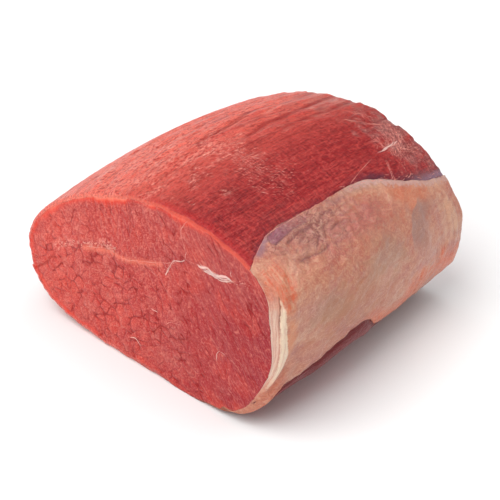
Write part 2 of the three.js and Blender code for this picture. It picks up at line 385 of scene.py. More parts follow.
# the lean: how finely it is meshed and the relief it carries, in mm
leanPiece = {
    "cutHalf": 68,              # squares from the middle of a cut to its rim
    "bareColumns": [224, 168, 96],
    "coveredColumns": [24, 32],
    "endRows": [0, 0.4, 0.8, 1.6, 2.6, 3.8, 5],
    "middleRows": 101,
    "underFat": -0.1,           # the lean reaches this far into the fat's inner face
    "ridged": {"z": [40, 70], "fromCrown": [84, 60]},
    "bundleRidge": {"height": 0.5, "spacing": 17, "wander": 4, "sway": 31, "run": 23},
    "fineRidge": {"height": 0.24, "spacing": 5.5, "wander": 3, "sway": 19, "run": 9},
    "cutHollow": {"depth": 0.8, "spacing": 34, "inward": [0, 0.4]},
    "fatStep": {"depth": 0.9, "reach": [9, 0]},
    "foldRoll": {"height": 1.8, "below": 8, "width": 7, "rises": [-58, -43], "falls": [6, -14]},
    "fatLip": {"depth": 1.5, "reach": [3.5, 0.5]},      # the lean lies back under the fat's lower edge
    # furrows between the big bundles along the top: depth, width, then places along and across; they come
    # in between two heights, fade at their ends unless those are by the back cut, and have low lips
    "furrow": {"z": [60, 80], "starts": [-4, 8], "stops": [4, -10], "byBack": 70,
               "lip": 0.3, "lipAway": 2.1, "lipWidth": 1.3},
    "furrows": [
        (0.5, 2.3, [-30, -16, -1, 22, 34, 48], [-12, -14.2, -13.8, -18.4, -17.3, -13.5]),
        (0.55, 2.3, [-12, -4, 12, 32, 76], [6, 4.4, 0.6, 1.6, -3.4]),
        (0.4, 2.4, [8, 54, 78], [11.6, 12.5, 8.5]),
        (0.3, 2.2, [-50, -20, 20], [-28, -31, -34]),
        (0.35, 2.0, [20, 50, 78], [-9, -13, -15]),
        (0.25, 1.8, [15, 45, 78], [21, 25, 20]),
        (0.25, 2.0, [-66, -40, -5], [14, 19, 17]),
    ],
    # ends of bundles that are missing along the rims, at the front mostly in the lower left corner
    "chippedCorner": {"elsewhere": 0.25, "z": [60, 30], "x": [55, 25]},
    # for all the chips: how many bundles differ, how few of them are long, how uneven their widths are,
    # and the part of a bundle where it steps to the next one
    "chips": {"bundles": 200, "rarity": 1.6, "uneven": 0.35, "run": 5.3, "stepped": [0.8, 1]},
    "backChips": {"depth": 1.7, "width": 8.0, "reach": 6.0, "seed": 11},
    "frontChips": {"depth": 1.5, "width": 7.0, "reach": 3.0, "seed": 5},
    "smallChips": {"depth": 0.9, "width": 2.6, "reach": 2.0, "seed": 8},
    # splits between bundles in the front cut, clear of its rim: depth, width, then x and z along each
    "splitInward": [0, 0.03],
    "splits": [
        (0.7, 0.7, [-86, -78.3, -73.6, -70, -66], [25, 30.6, 34.6, 39.4, 41]),
        (0.6, 0.8, [-84, -83.5], [53, 43]),
        (0.5, 0.5, [31.4, 36.2, 40.2], [56.7, 54.7, 51.7]),
        (0.7, 0.7, [47.4, 52.1, 55.3], [48.8, 46.1, 44.8]),
        (0.6, 0.6, [42.5, 41.6], [26.3, 20.5]),
        (0.6, 0.6, [49, 52.2, 53], [18.4, 11.8, 8.4]),
        (0.6, 0.6, [59.4, 59.5], [18.1, 10.5]),
        (0.5, 0.5, [66.6, 70.4, 72.8], [63.4, 60.4, 56.7]),
        (0.5, 0.5, [60.6, 61.5], [54, 46.6]),
        (0.5, 0.4, [-2.2, 2.8, 4.4, 5.1], [30.5, 27, 23.2, 17.3]),
        (0.5, 0.4, [5.5, 11.7, 13.6], [27.6, 33, 39.2]),
    ],
}


def chipsRound(ring, chips, fromCut):
    # bundles that end short of the cut's rim, each a few millimetres wide
    every = leanPiece["chips"]
    count = every["bundles"]
    draw = np.random.default_rng(chips["seed"])
    levels = draw.uniform(0, 1, count) ** every["rarity"]
    place = ring["reach"] / chips["width"] + every["uneven"] * np.sin(ring["reach"] / every["run"])
    cell = np.floor(place).astype(int)
    blend = smoothStep(place - cell, *every["stepped"])
    level = levels[cell % count] * (1 - blend) + levels[(cell + 1) % count] * blend
    return chips["depth"] * level * smoothStep(fromCut, chips["reach"], 0)


def furrowDepth(ring):
    furrow = leanPiece["furrow"]
    along = ring["along"]
    total = np.zeros_like(ring["x"])
    onTop = smoothStep(ring["z"], *furrow["z"])
    for depth, width, places, across in leanPiece["furrows"]:
        fade = smoothStep(along - places[0], *furrow["starts"])
        if places[-1] < furrow["byBack"]:
            fade = fade * smoothStep(along - places[-1], *furrow["stops"])
        away = (ring["x"] - np.interp(along, places, across)) / width
        lip = furrow["lip"] * hill(away - furrow["lipAway"], furrow["lipWidth"])
        total += depth * fade * onTop * (hill(away, 1) - lip)
    return total


def leanDepth(ring):
    # how far the lean's surface lies in from the joint's outline
    size = leanPiece
    reach = ring["reach"]
    along = ring["along"]
    fromCrown = np.abs(ring["x"] - ring["section"]["crownX"])
    onTop = smoothStep(ring["z"], *size["ridged"]["z"]) * smoothStep(fromCrown, *size["ridged"]["fromCrown"])
    relief = 0
    for wave in (size["bundleRidge"], size["fineRidge"]):
        turn = 2 * math.pi * (reach + wave["wander"] * math.sin(along / wave["sway"])) / wave["spacing"]
        relief = relief + wave["height"] * onTop * slowWaves(turn, along / wave["run"])
    relief = relief - size["fatStep"]["depth"] * smoothStep(reach, *size["fatStep"]["reach"])
    fold = size["foldRoll"]
    toFat = ring["bareReach"] - reach
    foldShare = smoothStep(along, *fold["rises"]) * smoothStep(along, *fold["falls"])
    relief = relief + fold["height"] * foldShare * hill(toFat - fold["below"], fold["width"])
    relief = relief - size["fatLip"]["depth"] * smoothStep(toFat, *size["fatLip"]["reach"])
    chipped = size["chippedCorner"]
    lowLeft = smoothStep(ring["z"], *chipped["z"]) * smoothStep(ring["x"], *chipped["x"])
    atFront = chipped["elsewhere"] + (1 - chipped["elsewhere"]) * lowLeft
    ends = (("frontChips", "fromFront", atFront), ("backChips", "fromBack", 1))
    for chips, fromCut, share in ends:
        for bundles in (size[chips], size["smallChips"]):
            relief = relief - chipsRound(ring, bundles, ring[fromCut]) * share
    bareDepth = rimInset(ring) - relief + furrowDepth(ring)
    underFat = fatSkinDepth(ring) + fatThickness(ring) + size["underFat"]
    return np.where(ring["across"] >= 0, underFat, bareDepth)


def cutGrid(rim, half):
    # a square grid laid over a cut in rings that shrink to its middle; also each point's share inward
    across, up = np.meshgrid(np.arange(-half, half + 1), np.arange(-half, half + 1))
    ring = np.maximum(np.abs(across), np.abs(up))
    onSide = [across == ring, up == ring, across == -ring]
    turn = [up + ring, 3 * ring - across, 5 * ring - up]
    place = np.select(onSide, turn, 7 * ring + across) * half / np.maximum(ring, 1) - 2 * half
    first = np.floor(place).astype(int)
    share = (place - first)[..., None]
    count = len(rim)
    outline = rim[first % count] * (1 - share) + rim[(first + 1) % count] * share
    inward = 1 - ring / half
    middle = rim.mean(axis=0)
    return middle + (outline - middle) * (1 - inward)[..., None], inward


def distanceToLine(x, z, lineX, lineZ):
    nearest = np.full(x.shape, 1e9)
    for i in range(len(lineX) - 1):
        alongX = lineX[i + 1] - lineX[i]
        alongZ = lineZ[i + 1] - lineZ[i]
        share = ((x - lineX[i]) * alongX + (z - lineZ[i]) * alongZ) / (alongX ** 2 + alongZ ** 2)
        share = np.clip(share, 0, 1)
        away = np.hypot(x - lineX[i] - share * alongX, z - lineZ[i] - share * alongZ)
        nearest = np.minimum(nearest, away)
    return nearest


def grooveDepth(x, z, grooves):
    # how deep the nearest of the grooves is; each is a depth, a width and a line
    total = np.zeros(x.shape)
    for depth, width, lineX, lineZ in grooves:
        total = np.maximum(total, depth * hill(distanceToLine(x, z, lineX, lineZ), width))
    return total


def closedCut(rim, share, side):
    points, inward = cutGrid(rim, leanPiece["cutHalf"])
    hollow = leanPiece["cutHollow"]
    x = points[..., 0]
    z = points[..., 2]
    turn = 2 * math.pi / hollow["spacing"]
    dip = hollow["depth"] * smoothStep(inward, *hollow["inward"]) * slowWaves(turn * x, turn * z + share)
    if side < 0:
        splitShare = smoothStep(inward, *leanPiece["splitInward"])
        dip = dip + grooveDepth(x, z, leanPiece["splits"]) * splitShare
    flat = (share - 0.5) * jointForm["length"] + jointForm["cutLean"] * (z - jointForm["frontCut"]["leftZ"])
    points[..., 1] = np.where(inward > 0, flat - side * dip, points[..., 1])
    return points


# where the lean's look changes, as soft ovals on its skin: x and y of the middle, then the two radii
leanZones = {
    "crumbly": (-30, -42, 56, 44),      # short torn fibre ends, paler
    "speckled": (-3, -20, 22, 14),      # bright flecks of fat
    "dried": (40, -46, 24, 28),
    "arcs": (27, -28, 22, 14),          # pale ripples that curve across the grain
    "crown": (-14, 22, 34, 62),         # ridges between bundles; the strips are painted paler on top and darker between, as light and shade
    "torn": (46, 66, 34, 20),           # torn membrane with threads
    "greyBack": (4, 64, 36, 25),        # a greyer film over the crown
}

# the same on the front cut, by x and z
cutZones = {"open": (-12, 36, 52, 34)}      # where the gaps between bundles gape

# how strongly a cut's rim is painted with glow, as light shining through its thin edge: at least this much,
# more at the top and on the left, and less by the fat
rimLight = {"least": 0.3, "top": [62, 80], "left": [-20, -70], "awayFromFat": [78, 20]}

# where skin turns into cut, in mm from the cut's level and then from its rim, the heights where the zones
# of the skin come in, and a distance that counts as far from the fat
cutEdge = {"skin": [0.8, -0.8], "cut": [0, 1], "zonesFrom": [30, 60], "far": 60}

# lines of connective tissue on the front cut: half width, then x and z along each
cutLines = {
    "fleckBand": (2.0, [-66, -60, -53, -45, -37, -31, -24, -18],
                  [47.2, 52.5, 55.4, 58.8, 62.5, 64.2, 67.2, 68.2]),
    "seam": (1.5, [-42, -30, -21.5, -15.7, -8.5, -1.3, 5.7, 12.7],
             [58, 61.8, 64.4, 64, 64.8, 67.4, 69.4, 72]),
}


def ovalField(u, v, zone):
    return 1 - np.hypot((u - zone[0]) / zone[2], (v - zone[1]) / zone[3])


def leanMesh():
    counts = (leanPiece["bareColumns"], leanPiece["coveredColumns"])
    rings = [ringAt(share, *counts) for share in sharesAlong(leanPiece["endRows"], leanPiece["middleRows"])]
    skin = np.stack([pointsAt(ring, leanDepth(ring)) for ring in rings])
    fields = {
        "onCut": [smoothStep(min(ring["fromFront"], ring["fromBack"]), *cutEdge["skin"]) for ring in rings],
        "fromFat": [np.where(ring["across"] >= 0, 0, ring["reach"]) for ring in rings],
        "toFat": [np.where(ring["across"] >= 0, 0, ring["bareReach"] - ring["reach"]) for ring in rings],
        "furrow": [furrowDepth(ring) for ring in rings],
        "fromFront": [ring["fromFront"] for ring in rings],
    }
    fields = {key: np.stack([row + 0 * rings[0]["x"] for row in rows]) for key, rows in fields.items()}
    upper = smoothStep(skin[..., 2], *cutEdge["zonesFrom"])
    for key, zone in leanZones.items():
        fields[key] = ovalField(skin[..., 0], skin[..., 1], zone) * upper - (1 - upper)
    for key in ("inFromRim", "rimGlow", "split", *cutLines):
        fields[key] = 0 * upper
    for key in cutZones:
        fields[key] = 0 * upper - 1
    closed = np.concatenate([skin, skin[:, :1]], axis=1)
    fields = {key: np.concatenate([field, field[:, :1]], axis=1) for key, field in fields.items()}
    grids = [(closed, fields, False, 0)]
    for rim, end, side in ((skin[0], 0, -1), (skin[-1], 1, 1)):
        points = closedCut(rim, end, side)
        x = points[..., 0]
        z = points[..., 2]
        isFront = side < 0
        # distance in from the rim, the nearest of all the rim's points
        inFromRim = np.min([np.hypot(x - p[0], z - p[2]) for p in rim], axis=0)
        cutFields = {key: np.full(x.shape, -1.0) for key in leanZones}
        cutFields["inFromRim"] = inFromRim
        cutFields["onCut"] = (1 + smoothStep(inFromRim, *cutEdge["cut"])) / 2
        # painted glow along the rim, as light shining through its thin edge
        topOrLeft = smoothStep(z, *rimLight["top"]) + smoothStep(x, *rimLight["left"])
        glow = np.clip(rimLight["least"] + topOrLeft, 0, 1)
        cutFields["rimGlow"] = glow * smoothStep(x, *rimLight["awayFromFat"])
        cutFields["split"] = grooveDepth(x, z, leanPiece["splits"]) * isFront
        for key, zone in cutZones.items():
            cutFields[key] = ovalField(x, z, zone)
        for key, (width, lineX, lineZ) in cutLines.items():
            cutFields[key] = hill(distanceToLine(x, z, lineX, lineZ), width) * isFront
        plain = {"fromFat": cutEdge["far"], "toFat": cutEdge["far"], "furrow": 0,
                 "fromFront": end * jointForm["length"]}
        cutFields.update({key: np.full(x.shape, float(value)) for key, value in plain.items()})
        grids.append((points, cutFields, isFront, 1))
    return weldedObject("beef_lean", grids)


# the fat: its mesh and relief, in mm
fatPiece = {
    "bareColumns": [8, 8, 8],   # only the covered side is kept
    "coveredColumns": [50, 70],
    "endRows": [0, 0.4, 0.8, 1.6, 2.6, 3.8, 5],
    "middleRows": 150,
    "layers": 8,                # across the thickness at the two cuts
    "dent": {"depth": 0.7, "spacing": 38},
    "scoop": {"depth": 1.1, "along": 54, "height": 66, "length": 15, "tall": 26, "edge": [1, 0.6]},
    "backCorners": {"height": 1.8, "at": (62, 25), "tall": 8, "along": [60, 78]},
    "trimmed": {"depth": 1.3, "fades": [16, 4]},    # how much thinner it is by the front cut
    "thinnest": 0.5,
    "creaseShare": 0.9,         # how much of their depth the creases have in the mesh
    # how the front cut rounds over: over this length, and the share of the thickness at each place across
    "bevel": {"length": 5.0, "across": [0, 0.05, 0.12, 0.26, 0.4, 0.6, 0.85, 1],
              "share": [0, 0.6, 0.85, 0.8, 0.6, 0.55, 0.2, 0]},
    # the fat's foot is pressed out at the front and squeezed thinner
    "tongue": {"height": 2.4, "across": [0.74, 0.9], "eases": [1, 0.95], "fades": [16, 3]},
    "thinFoot": {"depth": 3.0, "across": [0.56, 0.82], "eases": [0.98, 0.88], "fades": [26, 5]},
    # creases in the fat's skin: depth, width, then place along the joint and distance down
    "creases": [
        (0.5, 0.8, [-32, -36, -40, -46.5, -53], [20.2, 21.6, 21.9, 20.9, 20]),
        (0.5, 0.8, [-42, -38, -34.6, -32.8, -33.7, -38.6], [8.2, 7.6, 8.6, 11.5, 14.3, 17.9]),
        (0.5, 0.8, [-52, -44, -38, -32], [9.8, 8.6, 8.9, 7]),
        (0.4, 0.7, [-30, -26, -21, -16], [9, 6.5, 5.5, 5.8]),
        (0.4, 0.8, [-30, -28.5, -26, -22], [16, 12, 10.5, 10]),
        (0.4, 0.7, [-47, -43, -39], [13, 11.5, 12.6]),
        (0.4, 0.8, [-25, -20, -14], [14.5, 13.2, 14]),
        (0.4, 0.7, [-18, -12, -5], [8.5, 7.2, 7.6]),
    ],
    "pad": ([-57, -49, -43, -36], [3.7, 3.2, 2.7, 2.8]),        # middle line of the bluish pad
    # a bright strip on the rounded front edge: where it starts and stops, in mm out from the lean, at
    # each distance down from the upper edge
    "strip": {"down": [19, 22, 29, 38, 47, 55, 61, 68, 75, 80],
              "from": [7.4, 6.8, 5.6, 5.5, 4.6, 3.2, 2.4, 1.5, 1.2, 2],
              "to": [6.6, 8.0, 9.4, 9.2, 9.2, 9.0, 7.8, 5.4, 3.6, 1]},
    "rawEdge": ([38, 31, 28, 24, 10, -9], [60, 67, 75, 81, 86, 80]),    # torn orange lower edge
    # a trimmed patch with a crisp step at its front side: y of that side at each distance down
    "trimStep": {"height": 0.5, "down": [8, 14, 18, 23, 28, 33, 44], "along": [46, 40, 35, 31, 28, 26, 24],
                 "crisp": [0, 1.2], "fades": [20, 8], "upper": [8, 15], "lower": [44, 32]},
    "lobeCrease": {"depth": 0.9, "width": 1.6, "along": [37, 35.5, 36], "height": [48, 38, 26],
                   "upper": [50, 42], "lower": [24, 30], "reach": 12},
}


# where the fat's colour changes, as soft ovals: place along the joint and distance down from the fat's
# upper edge, then the two radii
fatZones = {
    "veil": (-35, 10, 38, 17),          # thin purplish skin with fine wrinkles
    "frontOrange": (-72, 17, 12, 15),
    "corner": (-66, 0, 12, 4),          # lavender skin on the upper edge by the front
    "besideStrip": (-72.5, 47, 5, 20),
    "topOrange": (40, 8, 20, 11),
    "upperGrey": (8, 2, 34, 5),         # thin greyish edge over the lean
    "middleGrey": (2, 40, 28, 16),
    "blush": (-2, 18, 38, 14),
    "backPale": (66, 20, 14, 24),
    "lobe": (67, 50, 26, 16),           # raw orange corner
    "lowWarm": (-28, 54, 42, 22),
    "lowGrey": (-44, 50, 20, 14),
}


def trimmedPatch(along, down):
    # 1 where the patch is trimmed thin and the lean shows through, crisp at the front, fading behind
    step = fatPiece["trimStep"]
    behind = along - np.interp(down, step["down"], step["along"])
    beside = smoothStep(behind, *step["crisp"]) * smoothStep(behind, *step["fades"])
    return beside * smoothStep(down, *step["upper"]) * smoothStep(down, *step["lower"])


def creaseDepth(along, down):
    return grooveDepth(along + 0 * down, down, fatPiece["creases"])


def fatSkinDepth(ring):
    along = ring["along"]
    z = ring["z"]
    across = np.clip(ring["across"], 0, 1)
    dent = fatPiece["dent"]
    turn = 2 * math.pi / dent["spacing"]
    swell = dent["depth"] * slowWaves(turn * z, turn * along)
    scoop = fatPiece["scoop"]
    away = np.hypot((along - scoop["along"]) / scoop["length"], (z - scoop["height"]) / scoop["tall"])
    swell = swell - scoop["depth"] * smoothStep(away, *scoop["edge"])
    down = across * (ring["whole"] - ring["bareReach"])
    swell = swell - fatPiece["trimStep"]["height"] * trimmedPatch(along, down)
    swell = swell - fatPiece["creaseShare"] * creaseDepth(along, down)
    crease = fatPiece["lobeCrease"]
    if abs(along - crease["along"][0]) < crease["reach"]:
        middle = np.interp(-z, [-height for height in crease["height"]], crease["along"])
        inReach = smoothStep(z, *crease["lower"]) * smoothStep(z, *crease["upper"])
        swell = swell - crease["depth"] * inReach * hill(along - middle, crease["width"])
    corners = fatPiece["backCorners"]
    for height in corners["at"]:
        bulge = hill(z - height, corners["tall"])
        swell = swell + corners["height"] * bulge * smoothStep(along, *corners["along"])
    tongue = fatPiece["tongue"]
    atFoot = smoothStep(ring["across"], *tongue["across"]) * smoothStep(ring["across"], *tongue["eases"])
    atFoot = atFoot * smoothStep(ring["fromFront"], *tongue["fades"])
    pressed = footSqueeze(ring) - tongue["height"] * atFoot
    return rimInset(ring) - np.sin(math.pi * across) * swell + pressed


def footSqueeze(ring):
    foot = fatPiece["thinFoot"]
    eased = (1 + smoothStep(ring["across"], *foot["eases"])) / 2
    atFoot = smoothStep(ring["across"], *foot["across"]) * eased
    return foot["depth"] * atFoot * smoothStep(ring["fromFront"], *foot["fades"])


def fatThickness(ring):
    across = np.clip(ring["across"], 0, 1)
    trimmed = fatPiece["trimmed"]
    thinner = trimmed["depth"] * smoothStep(ring["fromFront"], *trimmed["fades"]) * np.sin(math.pi * across)
    thickness = smoothCurve(jointForm["fatThickness"], across) - thinner - footSqueeze(ring)
    return np.maximum(thickness, fatPiece["thinnest"])


def fatBevel(ring):
    # the front cut rounds over into the fat's outer side
    bevel = fatPiece["bevel"]
    inside = max(0, 1 - ring["fromFront"] / bevel["length"])
    share = np.interp(ring["across"], bevel["across"], bevel["share"])
    return share * fatThickness(ring) * (1 - math.sqrt(1 - inside ** 2))


def fatMesh():
    counts = (fatPiece["bareColumns"], fatPiece["coveredColumns"])
    rings = [ringAt(share, *counts) for share in sharesAlong(fatPiece["endRows"], fatPiece["middleRows"])]
    outer = []
    inner = []
    down = []
    for ring in rings:
        skinDepth = fatSkinDepth(ring)
        covered = np.append(np.arange(ring["bare"], len(ring["x"])), 0)
        outer.append(pointsAt(ring, skinDepth + fatBevel(ring))[covered])
        inner.append(pointsAt(ring, skinDepth + fatThickness(ring))[covered])
        skinX = np.diff(outer[-1][:, 0])
        skinZ = np.diff(outer[-1][:, 2])
        step = np.append(np.hypot(skinX, skinZ), 0)
        down.append(np.cumsum(step[::-1])[::-1])
    down, outer, inner = [np.stack(rows) for rows in (down, outer, inner)]
    layers = np.linspace(0, 1, fatPiece["layers"] + 1)[:, None, None, None]
    slab = outer * (1 - layers) + inner * layers
    depthIn = layers[..., 0] + 0 * down
    along = outer[..., 1]
    fields = {key: ovalField(along, down, zone) for key, zone in fatZones.items()}
    fields["down"] = down
    fields["depthIn"] = depthIn
    fields["trimmedThin"] = trimmedPatch(along, down)
    fields["crease"] = creaseDepth(along, down)
    fields["fromPad"] = distanceToLine(along, down, *fatPiece["pad"])
    fields["fromRawEdge"] = distanceToLine(along, down, *fatPiece["rawEdge"])
    # distance out from the lean, over the cut face and on over its rounded edge
    face = np.linalg.norm(outer[0] - inner[0], axis=1)
    run = np.linalg.norm(np.diff(outer, axis=0), axis=2)
    fromLean = face + np.concatenate([0 * run[:1], np.cumsum(run, axis=0)]) - face * depthIn
    strip = fatPiece["strip"]
    fields["pastEnd"] = fromLean - np.interp(down, strip["down"], strip["from"])
    stripTo = np.interp(down, strip["down"], strip["to"])
    fields["inStrip"] = np.minimum(fields["pastEnd"], stripTo - fromLean)
    fields["fromFront"] = 0 * along + np.array([[ring["fromFront"]] for ring in rings])
    # the faces of the slab: which part of it each is, if it lies on a cut, and if it is turned over
    whole = slice(None)
    faces = [((0,), 0, False), ((-1,), 0, True), ((whole, 0), 1, True), ((whole, -1), 1, False),
             ((whole, whole, 0), 0, False), ((whole, whole, -1), 0, True)]
    grids = []
    for part, onCut, flipped in faces:
        shown = {key: (field + 0 * depthIn)[part] for key, field in fields.items()}
        shown["onCut"] = 0 * shown["down"] + onCut
        grids.append((slab[part], shown, flipped, 0))
    return weldedObject("beef_fat", grids)


lean = leanMesh()
fat = fatMesh()
print("meshes", len(lean.data.vertices), len(fat.data.vertices))


def leanHeight(tree):
    # geometry for what is two millimetres or wider: rounded bundles in the cuts, torn ends on the skin
    known = restPlace(tree)
    addBundles(tree, known)
    drawn = addNode(tree, vectorNode, {0: known["place"], 1: (1, 1 / 2.2, 1)}, operation="MULTIPLY")
    known["rough"] = addNode(tree, noiseNode, {"Vector": drawn, "Scale": 1 / 3.0, "Detail": 3.0})
    workOut(tree, known, {
        "pillow": ("SMOOTHSTEP", "edge", 0.0, 0.3, -0.2, 0.05),
        "onEnds": ("LINEAR", "onCut", 0.4, 1.0, 0.1, 1.0),
        "uneven": ("LINEAR", "rough", 0.3, 0.7, -0.5, 0.5),
        "tornEnds": ("LINEAR", "crumbly", -0.3, 0.4, 0.3, 0.45),
        "clear": ("LINEAR", "z", 0.0, 4.0),         # nothing moves where the joint rests
    })
    return sumHeights(tree, known, [
        ("pillow", 1.0, "onEnds", "clear"), ("uneven", 1.0, "tornEnds", "clear")])


def fatHeight(tree):
    known = restPlace(tree)
    known["slow"] = addNode(tree, noiseNode, {"Vector": known["place"], "Scale": 1 / 8, "Detail": 3.0})
    known["creased"] = addNode(tree, noiseNode, {"Vector": known["place"], "Scale": 1 / 3.4, "Detail": 2.0,
                                                 "Distortion": 1.4})
    # the face on the lean stays where it is, and so does the rounded edge by the front cut
    workOut(tree, known, {
        "lumps": ("LINEAR", "slow", 0.3, 0.7, -0.45, 0.45),
        "folds": ("LINEAR", "creased", 0.35, 0.65, -0.28, 0.28),
        "wrinkled": ("LINEAR", "veil", -0.4, 0.4, 0.15, 1.0),
        "outside": ("LINEAR", "depthIn", 0.6, 0.0),
        "behind": ("LINEAR", "fromFront", 0.5, 6.0, 0.1, 1.0),
    })
    return sumHeights(tree, known, [
        ("lumps", 1.0, "outside", "behind"), ("folds", 1.0, "wrinkled", "outside", "behind")])


applyRelief(lean, leanHeight)
applyRelief(fat, fatHeight)
print("relief applied")


def newMaterial(name):
    material = bpy.data.materials.new(name)
    material.use_nodes = True
    material.node_tree.nodes.clear()
    return material, material.node_tree


def addPatterns(tree, known, place, kinds):
    # patterns around 0, each with how long it is along the grain, its size in mm, detail, distortion, and
    # how little of the noise's range fills the pattern, which makes it starker; then its highs and lows
    for key, (stretch, size, detail, distortion, swing) in kinds.items():
        drawn = addNode(tree, vectorNode, {0: known[place], 1: (1, 1 / stretch, 1)}, operation="MULTIPLY")
        known["noise"] = addNode(tree, noiseNode, {
            "Vector": drawn, "Scale": 1 / size, "Detail": detail,
            "Roughness": 0.6, "Distortion": distortion})
        workOut(tree, known, {
            key: ("LINEAR", "noise", 0.5 - swing, 0.5 + swing, -1.0, 1.0),
            key + "High": ("SMOOTHSTEP", key, 0.0, 0.8),
            key + "Low": ("SMOOTHSTEP", key, 0.0, -0.8),
        })


def addZones(tree, known, zones, wobble, softness):
    # the zones as masks whose edges wander with the patches
    for key in zones:
        workOut(tree, known, {
            "ragged": ("MULTIPLY_ADD", "patch", wobble, key),
            key: ("SMOOTHSTEP", "ragged", 0.0, softness),
        })


def paintLayers(tree, known, look, base, layers):
    # lays colours over one another; each layer is a colour and the masks and numbers that limit it
    colour = hexColour(look[base])
    for paint, *limits in layers:
        strength, *others = [lookUp(tree, known, limit) for limit in limits]
        for other in others:
            strength = addNode(tree, mathNode, {0: strength, 1: other}, operation="MULTIPLY")
        links = {0: strength, 6: colour, 7: hexColour(look[paint])}
        colour = addNode(tree, mixNode, links, data_type="RGBA")
    return colour


def finishSurface(tree, colour, height, surface):
    # the bump's distance turns heights in mm into metres
    bump = addNode(tree, "ShaderNodeBump", {"Height": height, "Distance": 0.001, "Strength": 0.9})
    links = {"Base Color": colour, "Normal": bump, **surface}
    addNode(tree, "ShaderNodeOutputMaterial", {"Surface": addNode(tree, "ShaderNodeBsdfPrincipled", links)})


leanFinish = {
    "cutLeft": "#cf493f", "cutRight": "#982432", "cutPale": "#f09482", "cutDark": "#a22428",
    "cutGrey": "#be6e62", "cutOrange": "#e4503a", "crack": "#920e12", "rim": "#ea4632", "rimHighlightAndSeam": "#f88a70",
    "rimHighlightRight": "#e0503e", "sideLeft": "#fa7c69", "side": "#95191f", "sideDark": "#5c0e12",
    "sidePale": "#cc5048", "granule": "#f8b0a0", "pitAndFurrowShade": "#861618", "redGlowBehindRim": "#b4191d",
    "silverskin": "#501e32", "film": "#a0807c", "greyFilm": "#b8786c", "lavender": "#947488",
    "darkRedAndShadeUnderFat": "#6e161a", "suet": "#b0704e",
    "surface": {"Roughness": 0.38, "IOR": 1.4, "Subsurface Weight": 0.35, "Coat Roughness": 0.25,
                "Subsurface Radius": (1.0, 0.3, 0.22), "Subsurface Scale": 0.0022},
    "wetSkin": {"Coat Weight": 0.08, "Specular IOR Level": 0.4},
    "freshCut": {"Coat Weight": 0.0, "Specular IOR Level": 0.22},
}


